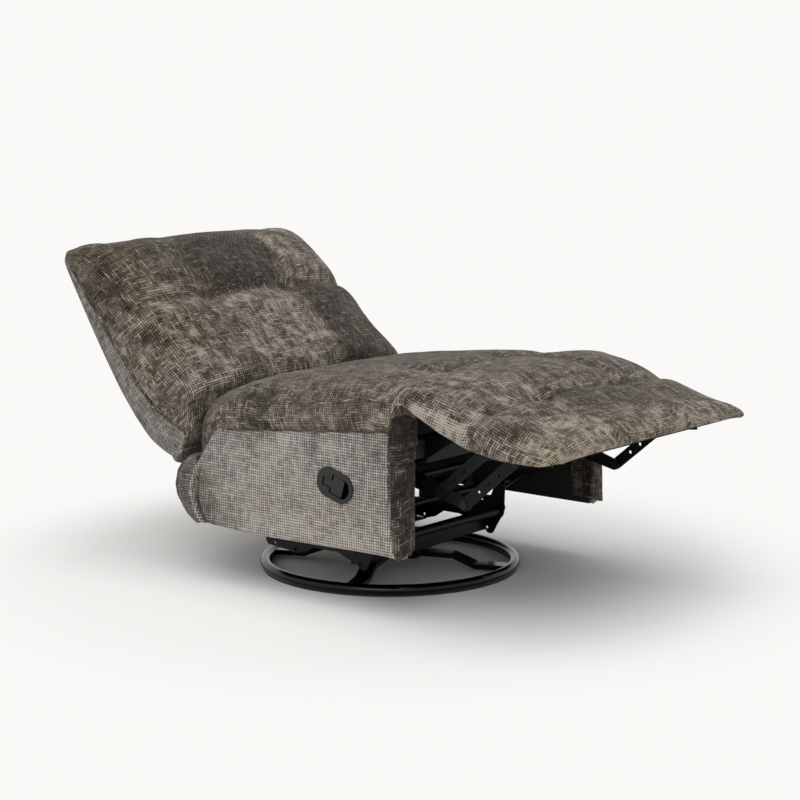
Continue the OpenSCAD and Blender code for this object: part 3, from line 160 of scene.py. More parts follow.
def chenille(name, dark, mid, light, pale, weave, nap, slub):
    """Woven pile in four yarn colours: crossed yarns with slubs, pits, crushed patches and sheen.
    weave is how clearly the weave shows, nap how brushed the pile is, slub how uneven the yarns are."""
    finish, tree = new_finish(name)
    calc = math_of(tree)
    cloth = put(tree, "UVMap", uv_map="cloth").outputs["UV"]
    tone = put(tree, "Attribute", attribute_name="tone", attribute_type="GEOMETRY")
    parts = put(tree, "SeparateColor", {"Color": tone.outputs["Color"]})
    nap_and_shade, straw = parts.outputs["Red"], parts.outputs["Green"]

    def noise(at, size, detail=2.0):
        return put(tree, "TexNoise", {"Vector": at, "Scale": 1 / size, "Detail": detail,
                                      "Roughness": 0.6}).outputs

    def vector(operation, first, second):
        return put(tree, "VectorMath", {0: first, 1: second}, operation=operation).outputs[0]

    # the yarns wander by up to about a quarter of their spacing
    stray = vector("SUBTRACT", noise(cloth, BENDS)["Color"], (0.5, 0.5, 0.5))
    drawn = vector("ADD", cloth, vector("MULTIPLY", stray, (WANDER, WANDER, 0.0)))
    place = put(tree, "SeparateXYZ", {"Vector": vector("MULTIPLY", drawn, (1 / YARN, 1 / YARN, 0.0))})
    u, v = place.outputs["X"], place.outputs["Y"]
    warp_number, weft_number = calc("FLOOR", u), calc("FLOOR", v)
    warp_side, weft_side = (calc("ABSOLUTE", calc("SUBTRACT", calc("FRACT", at), 0.5)) for at in (u, v))

    def slubs(number, along, seed):
        """Thickness of one yarn along its own length: each yarn gets its own stretch of noise."""
        at = put(tree, "CombineXYZ", {"X": calc("MULTIPLY_ADD", number, 3.7, seed),
                                      "Y": calc("MULTIPLY", along, 0.16)})
        return noise(at.outputs[0], 1.0, 3.0)["Fac"]

    warp, weft = slubs(warp_number, v, 2.3), slubs(weft_number, u, 61.0)
    over = calc("PINGPONG", calc("ADD", warp_number, weft_number), 1.0)
    top = put(tree, "Mix", {0: over, 2: warp, 3: weft}).outputs[0]
    side = put(tree, "Mix", {0: over, 2: warp_side, 3: weft_side}).outputs[0]
    pit = calc("MULTIPLY", *(calc("POWER", calc("MULTIPLY", at, 2.0), 3.0) for at in (warp_side, weft_side)))
    pile, smudge = noise(cloth, PILE)["Fac"], noise(cloth, SMUDGE, 3.0)["Fac"]
    patch, drift = noise(cloth, PATCH, 4.0)["Fac"], noise(cloth, DRIFT)["Fac"]

    # the value of a yarn: its slubs, then which yarn is on top, with painted shade on its rounded side and in
    # the pit
    bright = calc("MAXIMUM", calc("MULTIPLY_ADD", warp_side, -0.30, warp),
                  calc("MULTIPLY_ADD", weft_side, -0.30, weft))
    value = calc("MULTIPLY_ADD", bright, (0.5 + 0.7 * slub) * weave, -(0.33 + 0.5 * slub) * weave)
    for part, amount in ((top, 0.34), (side, 0.4 * slub - 0.6), (pit, slub - 1.5)):
        value = calc("MULTIPLY_ADD", part, amount * weave, value)
    # where the pile is brushed flat it covers the weave
    open_weave = put(tree, "MapRange", {"Value": patch, "From Min": 0.46, "From Max": 0.62, "To Min": 1.1,
                                        "To Max": 1.1 - 0.45 * nap})
    value = calc("MULTIPLY_ADD", value, open_weave.outputs[0], 0.30)
    # then the tone, which is how the pile is laid together with painted shade and highlights: worn blocks,
    # where the pile is open, are cloudy, dark blocks are even
    cloudy = calc("MULTIPLY_ADD", calc("MAXIMUM", nap_and_shade, 0.0), 0.9 * nap, 0.16 * nap)
    for part, amount in ((pile, 0.20), (smudge, 0.24 * nap), (calc("SUBTRACT", patch, 0.5), cloudy),
                         (drift, 0.16), (nap_and_shade, 0.36)):
        value = calc("MULTIPLY_ADD", part, amount, value)
    span = put(tree, "MapRange", {"Value": value, "From Min": 0.22, "From Max": 0.64 + 0.13 * nap})
    ramp = stops(put(tree, "ValToRGB", {"Fac": span.outputs[0]}),
                 (0.10, dark), (0.40, mid), (0.68, light), (0.97, pale))
    gold = put(tree, "Mix", {0: straw, 6: ramp.outputs["Color"], 7: colour(STRAW)},
               data_type="RGBA", blend_type="SOFT_LIGHT")

    height = calc("MULTIPLY_ADD", top, 1.1, calc("MULTIPLY", side, -0.9))
    height = calc("MULTIPLY_ADD", pit, -0.8, calc("MULTIPLY_ADD", pile, 0.5, height))
    relief = put(tree, "Bump", {"Height": height, "Strength": 0.6 * weave, "Distance": 0.0035})
    rough = put(tree, "MapRange", {"Value": span.outputs[0], "To Min": 0.92, "To Max": 0.72})
    surface = put(tree, "BsdfPrincipled", {
        "Base Color": gold.outputs[2], "Roughness": rough.outputs[0], "Normal": relief.outputs[0],
        "Specular IOR Level": 0.2, "Sheen Weight": 0.22, "Sheen Roughness": 0.45,
        "Sheen Tint": colour("#cdc8c2")})
    put(tree, "OutputMaterial", {"Surface": surface.outputs[0]})
    return finish


pad_chenille = chenille("pad_chenille", "#1c1713", "#3e362f", "#6b6258", "#a89f94", 0.8, 1.1, 0.8)
panel_chenille = chenille("panel_chenille", "#45413e", "#7d7872", "#9e9892", "#bbb5af", 0.85, 0.45, 0.2)
edge_chenille = chenille("edge_chenille", "#0f0c0b", "#241e1b", "#3d3531", "#766c65", 0.75, 1.1, 0.9)
shell_chenille = chenille("shell_chenille", "#33302e", "#64605c", "#8a8580", "#b2ada6", 0.9, 0.6, 0.35)
print("chenille for pads, side panels, front strips and the shell of the back")

# %% Dust cloth for the pad's underside
dust_cloth, tree = new_finish("dust_cloth_black")
fibres = put(tree, "TexNoise", {"Scale": 700.0, "Detail": 2.0}).outputs["Fac"]
nap = put(tree, "Bump", {"Height": fibres, "Strength": 0.5, "Distance": 0.0006})
shade = stops(put(tree, "ValToRGB", {"Fac": fibres}), (0.3, "#070707"), (0.7, "#151414"))
surface = put(tree, "BsdfPrincipled", {"Base Color": shade.outputs["Color"], "Roughness": 0.95,
                                       "Normal": nap.outputs[0], "Specular IOR Level": 0.2})
put(tree, "OutputMaterial", {"Surface": surface.outputs[0]})
print("dust cloth made")

# %% [markdown]
# ## Cloth as two sheets sewn at their edges
#
# Every pad here is a case: a show cover on top, a plain cover below, sewn together all round. So one
# function takes two grids of points, sews their borders, and writes the cloth map, measured along the
# grid in metres, and the tone. It is used for every soft piece, because each differs only in its shape.


# %% Sewing functions
def arcs(grid, axis):
    """Length along the grid in metres, from its middle line."""
    step = np.linalg.norm(np.diff(grid, axis=axis), axis=2)
    start = np.zeros_like(np.take(step, [0], axis=axis))
    run = np.concatenate([start, np.cumsum(step, axis=axis)], axis=axis)
    return run - np.take(run, [run.shape[axis] // 2], axis=axis)


def cloth_piece(name, points, faces, corner, shade, finish):
    """A smooth mesh in the scene, with a cloth map for its corners and a tone for its points."""
    mesh = bpy.data.meshes.new(name)
    mesh.from_pydata(points.tolist(), [], faces)
    mesh.uv_layers.new(name="cloth").data.foreach_set("uv", corner.astype(np.float32).ravel())
    mesh.color_attributes.new("tone", "FLOAT_COLOR", "POINT").data.foreach_set("color", shade.ravel())
    mesh.polygons.foreach_set("use_smooth", np.ones(len(mesh.polygons), bool))
    mesh.materials.append(finish)
    return add_to_scene(name, mesh)


def sew(name, top, under, tone, finish, lining=None, hem=0, flat_axes=None):
    """A closed case from two grids of the same size whose borders are the same points, in metres.
    The show cover turns in by hem squares at the sides, and by three at the ends, before the lining
    starts. flat_axes names the two axes whose places are the cloth map, for cloth flat on a board."""
    rows, cols = top.shape[:2]
    index = np.arange(rows * cols).reshape(rows, cols)
    below = index.copy()
    below[1:-1, 1:-1] = np.arange((rows - 2) * (cols - 2)).reshape(rows - 2, cols - 2) + rows * cols
    points = np.concatenate([top.reshape(-1, 3), under[1:-1, 1:-1].reshape(-1, 3)])

    def faces(i):
        return np.stack([i[:-1, :-1], i[:-1, 1:], i[1:, 1:], i[1:, :-1]], -1).reshape(-1, 4)

    quads = [faces(index), faces(below)[:, ::-1]]
    corner = []
    for grid, ids, sheet in ((top, index, quads[0]), (under, below, quads[1])):
        flat = np.zeros((len(points), 2))
        for k, axis in enumerate(flat_axes or (1, 0)):
            flat[ids.ravel(), k] = (grid[..., axis] if flat_axes else arcs(grid, axis)).ravel()
        corner.append(flat[sheet.ravel()])
    shade = np.zeros((len(points), 4), np.float32)
    shade[:, 3] = 1
    shade[:rows * cols, :2] = tone.reshape(-1, 2)
    piece = cloth_piece(name, points, np.concatenate(quads).tolist(), np.concatenate(corner), shade, finish)
    if lining:
        piece.data.materials.append(lining)
        lined = np.zeros((2, rows - 1, cols - 1), np.int32)
        lined[1, 3:-3, hem:-hem] = 1
        piece.data.polygons.foreach_set("material_index", lined.ravel())
    piece.data.update()
    return piece


def share_border(hidden, show):
    """Gives a hidden grid the border points of the grid that shows."""
    for end in (0, -1):
        hidden[end], hidden[:, end] = show[end], show[:, end]


def tone_of(nap_and_shade, straw=0.0):
    """For each point of a grid how the pile is laid, with painted shade and highlights, and how
    straw-coloured it is.
    """
    return np.stack([nap_and_shade, straw + np.zeros(nap_and_shade.shape)], -1)


def hill(distance, width):
    """A soft bump, 1 in its middle."""
    return np.exp(-(distance / width) ** 2)


def slope(value, start, way):
    """0 up to a start, then rising evenly, and 1 from start + way on. A negative way runs downwards."""
    return np.clip((value - start) / way, 0, 1)


def soft_step(distance, width):
    """From 0 to 1 as a distance goes from below to above nothing, over a width."""
    return 1 / (1 + np.exp(-distance / width))


def shoulder(share, power):
    """Height of a rounded cross-section at a share of its half width, from 1 in the middle to 0."""
    return np.clip(1 - np.abs(share) ** power, 0, 1) ** (1 / power)


def spread(count, power):
    """Shares from -1 to 1 that lie closer at both ends, where a pad turns down."""
    turn = np.linspace(math.pi, 0, count)
    return np.sign(np.cos(turn)) * np.abs(np.cos(turn)) ** (2 / power)


def line(points, at):
    """Value of a line of points at a place, or at many."""
    table = np.array(sorted(points), float)
    return np.interp(at, table[:, 0], table[:, 1])


def even(points, steps):
    """Points at even distances along a line of points."""
    table = np.array(points, float)
    run = np.concatenate([[0], np.cumsum(np.hypot(*np.diff(table, axis=0).T))])
    at = np.linspace(0, run[-1], steps)
    return np.stack([np.interp(at, run, table[:, 0]), np.interp(at, run, table[:, 1])], -1)


def tuft_dent(across, along, phase, deep, wide, dish, dish_wide, gather):
    """How far a tuft draws the cloth in: a narrow dent, a wide dish, and small gathers round it."""
    away, angle = np.hypot(across, along), np.arctan2(along, across)
    gathers = gather * np.cos(7 * angle + phase) * hill(away - 38, 24)
    return deep * hill(away, wide) + dish * hill(away, dish_wide) - gathers


print("sewing ready")

# %% [markdown]
# ## Inflating with cloth simulation
#
# A quilted pad is a case that its filling pushes outwards, and that stitches hold at the tufts and seams.
# Blender's cloth does just that with pressure and no gravity. The stitched points are pinned, and the
# cloth is cut a little larger than the shape, so that it gathers near the tufts. How far a point may
# move is capped, so that the pad stays in its place. The result is applied, then subdivided once.

# %% Inflate and smooth
TUFT_GRIP, CHANNEL_GRIP, CHANNEL_HOLD = 13, 7, 0.55


def stitches(piece, grid, axis, rows, tuft_x, sides, first, last):
    """How firmly each point of a quilted pad is held, from 0 to 1: its hidden sheet, so many columns
    and rows at its border, its tufts, and the channels in their rows. Lengths are in millimetres."""
    up = grid[..., axis]
    held = np.zeros(up.shape)
    held[:, :sides] = held[:, -sides:] = held[:first] = held[-last:] = 1
    for row in rows:
        for tuft in (-tuft_x, tuft_x):
            held = np.maximum(held, np.hypot(grid[..., 0] - tuft, up - row) < TUFT_GRIP)
        held = np.maximum(held, CHANNEL_HOLD * (np.abs(up - row) < CHANNEL_GRIP))
    return np.concatenate([held.ravel(), np.ones(len(piece.data.vertices) - held.size)])


def inflate(piece, pinned, pressure=1.6, cap=0.006, spare=0.018, frames=18):
    """Runs cloth with pressure on a piece, whose points are held by the weights in pinned. The cloth is
    longer than the shape by the share spare, and no point moves further than cap, in metres."""
    start = np.array([v.co for v in piece.data.vertices])
    group = piece.vertex_groups.new(name="stitched")
    for i, weight in enumerate(pinned):
        group.add([i], float(weight), "REPLACE")
    cloth = piece.modifiers.new("filling", "CLOTH").settings
    cloth.effector_weights.gravity = 0
    cloth.use_pressure = True
    cloth.uniform_pressure_force = pressure
    cloth.shrink_min = cloth.shrink_max = -spare
    cloth.mass = 0.4
    cloth.quality = 6
    cloth.tension_stiffness = 18
    cloth.bending_stiffness = 1.2
    cloth.vertex_group_mass = "stitched"
    scene = bpy.context.scene
    for number in range(1, frames + 1):
        scene.frame_set(number)
    done = piece.evaluated_get(bpy.context.evaluated_depsgraph_get())
    moved = np.array([v.co for v in done.data.vertices]) - start
    piece.modifiers.clear()
    piece.vertex_groups.clear()
    scene.frame_set(1)
    length = np.linalg.norm(moved, axis=1, keepdims=True)
    moved *= np.minimum(1, cap / np.maximum(length, 1e-9))
    piece.data.vertices.foreach_set("co", (start + moved).astype(np.float32).ravel())
    piece.data.update()
    print(piece.name, "filled, largest move mm", round(float(length.max()) * 1000, 1))


def smooth_out(piece):
    """Applies one subdivision, so that the piece is a plain mesh again."""
    soft = piece.modifiers.new("soft", "SUBSURF")
    soft.levels = soft.render_levels = 1
    mesh = bpy.data.meshes.new_from_object(piece.evaluated_get(bpy.context.evaluated_depsgraph_get()))
    mesh.name = piece.name
    piece.modifiers.clear()
    piece.data = mesh


print("filling ready")

# %% [markdown]
# ## The long pad over seat and footrest
#
# One quilted pad runs from under the back, over the seat and the rolled front, to the tip of the
# footrest. It could be two cushions, but the real cloth runs through, so it is one piece that bends at
# the footrest's hinge. Its side is drawn as three lines: the crown, the lower edge of the show cover,
# and the underside. A fourth gives half its width. The rest follows from a rounded cross-section, two
# rows of tufts, and channels.

# %% Lines of the long pad, in millimetres from front to rear
CROWN_LINE = [(-740, 401.0), (-737.4, 407.0), (-730.1, 411.5), (-713.6, 417.0), (-687.2, 423.5),
              (-654.2, 434.1), (-621.2, 445.6), (-588.2, 458.2), (-558.5, 468.4), (-535.4, 475),
              (-518.9, 480), (-499.1, 487.2), (-479.3, 493.8), (-457.9, 499.8), (-436.4, 503.4),
              (-419.2, 504.7), (-376.8, 505.3), (-338.8, 505.3), (-310.3, 504.1), (-281, 503.5),
              (-255.7, 503), (-230.5, 501.8), (-197.2, 500), (-150.7, 496.5), (-97.5, 491.3),
              (-37.6, 484.2), (24.2, 478.4), (75.5, 470.2), (128.7, 460.8), (183.8, 446.8), (235, 432.8),
              (255, 423.4)]
EDGE_LINE = [(-740, 390), (-702, 383), (-603, 384), (-527, 397), (-450, 425), (-389, 456), (-358, 474),
             (-346, 474), (-336, 463), (-329, 447), (-323, 424), (-321, 411), (150, 364.5), (180, 349),
             (209, 324), (240, 292), (255, 286)]
UNDER_LINE = [(-740, 390.2), (-736.7, 386.9), (-728.5, 384.4), (-614.6, 384.4), (-581.6, 387.6),
              (-548.6, 393.5), (-518.9, 396.8), (-495.8, 404), (-470, 416), (-452, 434), (-430, 452),
              (-410, 457), (-380, 452), (-350, 436), (-335, 405), (-321, 390), (255, 388.3)]
SIDE_LINE = [(-740, 357), (-737, 372), (-730, 382), (-715, 390), (-700, 392), (-450, 392), (-360, 397),
             (-345, 399.5), (60, 399.5), (150, 398.5), (200, 395), (235, 387), (255, 374)]
SEAT_ROW, FOOT_ROW = -256, -532
TUFT_ROWS = (SEAT_ROW, FOOT_ROW)
TUFT_X = 141
# stretches along the pad with rows of points: from, to, how many
PAD_ROWS = [(-740, -728, 6), (-728, -560, 20), (-560, -505, 12), (-505, -365, 16), (-365, -319, 17),
            (-319, -285, 5), (-285, -225, 11), (-225, 180, 32), (180, 255, 8)]
# for each row of tufts: depth and width of its channel, depth of its tufts, swelling in front of it
PAD_DENTS = ((SEAT_ROW, 9, 26, 17, 0), (FOOT_ROW, 15, 20, 24, 5))
# how the cover turns round the tip: so far in from the tip, so far down
TIP_WRAP = ((22, 13), (12, 13.5), (4.5, 11), (0.6, 6.5))


# %% Long pad
def long_pad_grids():
    """The show cover and the underside of the long pad, in millimetres, and its tone."""
    places = np.unique(np.concatenate([np.linspace(*stretch) for stretch in PAD_ROWS]))
    share = spread(81, 3.2)[None, :]
    off = np.abs(share)
    y = np.repeat(places[:, None], share.size, 1)
    x = line(SIDE_LINE, y) * share
    edge, crown = line(EDGE_LINE, y), line(CROWN_LINE, y)
    full = shoulder(share, line([(-740, 3.2), (60, 3.2), (200, 5.0), (255, 6.0)], y))
    # pillows between the channels, then the channels, the swelling in front of them, and the tufts
    lift = 12 * full ** 2 * np.clip((y + 740) / 10, 0.35, 1)
    reach = full ** 1.5
    for row, deep, wide, tuft_deep, swell in PAD_DENTS:
        lift -= deep * hill(y - row, wide) * reach * (1 - 0.6 * off ** 6)
        lift += swell * hill(y - row + 48, 40) * reach
        for tuft in (-TUFT_X, TUFT_X):
            lift -= tuft_dent(x - tuft, y - row, tuft, tuft_deep, 26, 5, 60, 2.0)
    lift -= 5 * hill(np.abs(x) - TUFT_X, 14) * reach * slope(y, 255, -60) * slope(y, -735, 50)
    z = edge + (crown - edge) * full + lift
    # at the rear the pad's sides fall away beside the back
    z -= 26 * slope(y, 165, 70) * off ** 8 * full
    top = np.stack([x, y, z], -1)
    below = np.interp(off, [0, 0.86, 0.965, 1], [0, 0, 0.45, 1])
    under_z = line(UNDER_LINE, y) * (1 - below) + edge * below
    under = np.stack([x, y, np.minimum(under_z, z - 1)], -1)
    # the cover turns round the tip, and its hem lies a finger's width in on the underside
    wrap = []
    for inwards, down in TIP_WRAP:
        ring = top[0].copy()
        ring[:, 0] *= 1 - inwards / 900
        ring[:, 1] += inwards - 1.5
        ring[:, 2] -= down * (0.2 + 0.8 * full[0])
        wrap.append(ring)
    top = np.concatenate([wrap, top])
    hem = [top[0] + (0, 1.2 * k, 0.4 * k) for k in range(len(wrap))]
    under = np.concatenate([hem, under])
    under[len(hem):, :, 1] = np.maximum(under[len(hem):, :, 1], hem[-1][None, :, 1] + 1.2)
    share_border(under, top)
    # tone: how the pile is laid in each quilted block, with painted shade and highlights at the rear and
    # round the tufts and channels, and the straw colour towards the tip
    middle, sides = np.abs(x) < TUFT_X, np.where(x < 0, 1, 0.4)
    nap_and_shade = 0.05 + 0.10 * (x < -TUFT_X) * (y < SEAT_ROW) - 0.08 * middle * (y < FOOT_ROW)
    nap_and_shade += 0.30 * hill(y + 710, 55) + 0.15 * hill(np.hypot(x + 270, y + 400), 80)
    nap_and_shade -= 0.10 * ((y > SEAT_ROW) & middle) + 0.06 * (x > TUFT_X)
    nap_and_shade += 0.25 * hill(y + 340, 18) * (off > 0.9) * sides
    nap_and_shade += slope(off, 0.93, 0.05) * (y > -350) * (0.10 * slope(y, -50, 150) - 0.03)
    nap_and_shade -= 0.30 * hill(y - 60, 26) * (off > 0.85)
    nap_and_shade += 0.50 * slope(off, 0.965, 0.02) * slope(y, -345, -15) * slope(y, -540, 60)
    # painted shade where the seat runs in under the back
    nap_and_shade -= 0.35 * slope(y, 205, 40)
    # painted shade in the tuft dents and channels, painted highlight on the cloth that rises just behind them
    for row in TUFT_ROWS:
        for tuft in (-TUFT_X, TUFT_X):
            nap_and_shade -= 0.45 * hill(np.hypot(x - tuft, y - row), 17)
            nap_and_shade += 0.36 * hill(np.hypot(x - tuft + 6, y - row - 28), 15)
        nap_and_shade -= 0.30 * hill(y - row, 7) * np.minimum(1.3 - off, 1)
        nap_and_shade += 0.14 * hill(y - row - 20, 12)
    tone = tone_of(nap_and_shade, slope(y, -560, -180) * (0.16 + 0.22 * (x < 0)))
    return top, under, np.concatenate([np.repeat(tone[:1], len(wrap), 0), tone])


top, under, tone = long_pad_grids()
long_pad = sew("long_pad", top / 1000, under / 1000, tone, pad_chenille, dust_cloth, hem=17)
inflate(long_pad, stitches(long_pad, top, 1, TUFT_ROWS, TUFT_X, sides=4, first=7, last=8))
smooth_out(long_pad)
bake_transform(long_pad)
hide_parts("seat_cushion", "footrest_cushion")
print("long pad", len(long_pad.data.polygons), "faces")

# %% [markdown]
# ## The quilted back
#
# The back is a flat pillow, thick in the middle and rounded to a seam all round, with one row of two
# tufts a little above the middle of its height. It is drawn in the back's own frame, where one axis goes
# up along the lean, and is then turned to the lean of the reclined chair, about its hinge.

# %% Lines of the back, in millimetres in its own frame
LEAN = math.radians(40.9)
HINGE = (300.0, 395.0)
FACE_LINE = [(-69, 62), (-64, 20), (-50, -8), (-24, -30), (-4, -46), (2, -58), (3, -68), (12, -78), (30, -80),
             (60, -74), (110, -64), (180, -55), (260, -46), (341, -38), (400, -28), (440, -18), (468, -6),
             (492, 10), (510, 30), (523, 56), (531, 82), (533, 98)]
SEAM_LINE = [(-69, 62), (-50, 24), (-2, 50), (40, 68), (92, 80), (250, 90), (458, 97), (533, 98)]
REAR_LINE = [(533, 99), (537, 106), (536, 116), (528, 128), (502, 139), (447, 152), (320, 178), (167, 204),
             (90, 208), (19, 206), (-28, 189), (-58, 170), (-73, 152), (-75, 120), (-72, 90), (-69, 62)]
BACK_TUFT_X, BACK_TUFT_Z = 143, 277
BACK_TOP, TOP_CORNER = 536, 30


def back_half(z):
    """Half the width of the back at a height along its lean, with its rounded top corners."""
    width = 391 - 25 * slope(z, 0, 530) ** 2
    over = np.clip(z - (BACK_TOP - TOP_CORNER), 0, TOP_CORNER)
    return width - TOP_CORNER + np.sqrt(TOP_CORNER ** 2 - over ** 2)


def back_places(points, steps, count, power, spare=0.0):
    """What pad and shell of the back have in common: shares across, places across and up, the depth of
    the seam and of the side line, and how full the section is. Spare is what the shell stands off."""
    side = even(points, steps)
    share = spread(count, power)[None, :]
    z = np.repeat(side[:, :1], count, 1)
    x = (back_half(z) + spare) * share
    return share, x, z, line(SEAM_LINE, z) + spare, side[:, 1:], shoulder(share, power)


def to_chair(points):
    """From the back's own frame to the chair's, both in millimetres, then to metres."""
    x, y, z = points[..., 0], points[..., 1], points[..., 2]
    return np.stack([x, HINGE[0] + y * math.cos(LEAN) + z * math.sin(LEAN),
                     HINGE[1] - y * math.sin(LEAN) + z * math.cos(LEAN)], -1) / 1000


# %% Back pad
def back_pad_grids():
    """Front and hidden rear of the back's pad in its own frame, and its tone."""
    share, x, z, seam, deep, full = back_places(FACE_LINE, 84, 77, 5.0)
    up = z - BACK_TUFT_Z
    puff = full ** 2 * slope(z, 8, 60) * slope(z, 530, -80)
    lift = 9 * puff * (1 - share ** 4)
    lift -= 15 * hill(up + 6 * np.cos(x / 70), 18) * full * (1 - 0.7 * share ** 8)
    lift += 5 * hill(up + 52, 38) * full
    lift -= 5 * hill(np.abs(x) - BACK_TUFT_X, 13) * puff
    for tuft in (-BACK_TUFT_X, BACK_TUFT_X):
        lift -= tuft_dent(x - tuft, up, tuft, 17, 24, 6, 62, 1.8)
    # the top dips in its middle, which leaves a little ear at each corner
    lift -= 5 * hill(np.abs(x) - 60, 120) * hill(z - 500, 50)
    front = np.stack([x, seam + (deep - seam) * full - lift, z], -1)
    rear = np.stack([x, seam, z], -1)
    share_border(rear, front)
    # tone: six blocks, near, middle and far, below and above the row of tufts, with wavy borders; then a
    # painted highlight where the near side curves, a lighter band along the top, and painted shade and
    # highlights round the tufts
    wave = 7 * np.sin(z / 23) + 5 * np.sin(z / 9 + 1)
    near, far = soft_step(-x - BACK_TUFT_X + wave, 4), soft_step(x - BACK_TUFT_X + wave, 4)
    middle = 1 - near - far
    upper = soft_step(up + 6 * np.sin(x / 19), 4)
    nap_and_shade = -0.03 + upper * (far * 0.24 - near * 0.06 - middle * 0.24)
    nap_and_shade += (1 - upper) * (middle * 0.30 + near * 0.16 - far * 0.24)
    # painted highlight where the near side curves round; lighter along the top
    nap_and_shade += 0.22 * hill(x + 300, 40) * (z < 400) + 0.15 * hill(z - 505, 30)
    nap_and_shade += 0.25 * hill(up - 30, 20) * (x < -BACK_TUFT_X) * hill(x + 240, 100)
    # painted shade in the tuft dents, painted highlight on the cloth just above them
    for tuft in (-BACK_TUFT_X, BACK_TUFT_X):
        nap_and_shade -= 0.30 * hill(np.hypot(x - tuft, up), 16)
        nap_and_shade += 0.35 * hill(np.hypot(x - tuft + 8, up - 22), 15)
    return front, rear, tone_of(nap_and_shade, 0.25 * hill(x + 320, 90) * (z > 100))


front, rear, tone = back_pad_grids()
back_pad = sew("back_pad", to_chair(front), to_chair(rear), tone, pad_chenille)
inflate(back_pad, stitches(back_pad, front, 2, (BACK_TUFT_Z,), BACK_TUFT_X, sides=3, first=4, last=3))
smooth_out(back_pad)
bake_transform(back_pad)
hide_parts("back_cushion")
print("back pad", len(back_pad.data.polygons), "faces")

# %% [markdown]
# ## The shell of the back
#
# Behind the seam the back is boxed in a plain padded cover, cut from the same cloth with the pile
# brushed flat, so it looks greyer and paler. It starts at the same seam as the pad.


# %% Back shell
def back_shell_grids():
    """Rear face and hidden front of the back's shell in its own frame, and its tone."""
    share, x, z, seam, deep, full = back_places(REAR_LINE, 70, 61, 3.6, spare=0.5)
    y = seam + np.maximum(deep - seam, 0.5) * full
    y += 1.2 * np.sin(z / 37 + 2 * np.sin(x / 90)) * full * hill(z - 40, 120)
    back, front = np.stack([x, y, z], -1), np.stack([x, seam, z], -1)
    share_border(front, back)
    nap_and_shade = 0.05 + 0.12 * hill(z - 120, 160) - 0.22 * hill(y - 150, 26) * (np.abs(share) > 0.97)
    return back, front, tone_of(nap_and_shade, 0.08)


back, front, tone = (grid[:, ::-1] for grid in back_shell_grids())
back_shell = sew("back_shell", to_chair(back), to_chair(front), tone, shell_chenille)
smooth_out(back_shell)
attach(back_shell, "back")
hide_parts("back_cover")
print("back shell", len(back_shell.data.polygons), "faces")

# %% [markdown]
# ## The boxed side panels
#
# Each side is a board with a thin wadding and the cloth pulled over it. The panel ends in a diagonal at
# its upper rear corner. Its front edge is a separate padded strip, darker, because its pile lies
# upwards, and gathered where the pad above presses on it.

# %% Lines of the side panels, in millimetres
SIDES = ((-1, "right"), (1, "left"))
PANEL_INNER, PANEL_OUTER, PANEL_MOST = 352.5, 397.0, 403
PANEL_START, PANEL_SPAN = -344, 624
# front and rear edges of the panel: place from front to rear at a height
PANEL_FRONT_LINE = [(133, -343), (150, -336), (170, -331), (245, -326), (300, -323), (345, -324),
                    (383, -321), (427, -322)]
PANEL_REAR_LINE = [(129, 232), (134, 247), (148, 260), (172, 271), (190, 277), (211, 280), (231, 278),
                   (250, 270), (273, 257), (300, 239), (341, 209), (372, 180), (420, 150)]
# its lower edge: height at a place from front to rear
PANEL_LOW_LINE = [(-344, 133), (-304, 136), (-219, 135), (-131, 133), (28, 129), (100, 129), (170, 131),
                  (247, 134)]
# creases at the front edge: height, depth, width, fall to the rear, how far they reach
FRONT_CREASES = ((332, 2.6, 8, 0.15, 40), (356, 2.2, 7, 0.22, 34), (344, -2.2, 6, 0.18, 44))
HANDLE_AT, HANDLE_TILT, HANDLE_REACH = (-174.5, 280.0), math.radians(17), 18
CUT_OUT, CUT_FLOOR, BEZEL_SEAT = 28.4, 364.0, 398.6


def seam_height(y):
    """Height of the seam between the side panel and the pad."""
    return line([(-344, 416.3), (-321, 413.8), (150, 367.5), (180, 366), (255, 366)], y)


def from_handle(y, z):
    """Distance from the handle's slot-shaped middle line, in millimetres."""
    dy, dz = y - HANDLE_AT[0], z - HANDLE_AT[1]
    along = dy * math.cos(HANDLE_TILT) + dz * math.sin(HANDLE_TILT)
    across = dz * math.cos(HANDLE_TILT) - dy * math.sin(HANDLE_TILT)
    return np.hypot(np.maximum(np.abs(along) - HANDLE_REACH, 0), across)


def eased(value, over):
    """A quarter circle from 0 at the edge to 1 at a distance."""
    return np.sqrt(np.clip(1 - np.clip((over - value) / over, 0, 1) ** 2, 0, 1))


def thinned(stretches, digits, gap):
    """Rounded places of several stretches in one row, without those too near the one before."""
    row = np.unique(np.round(np.concatenate(stretches), digits))
    return row[np.insert(np.diff(row) > gap, 0, True)]


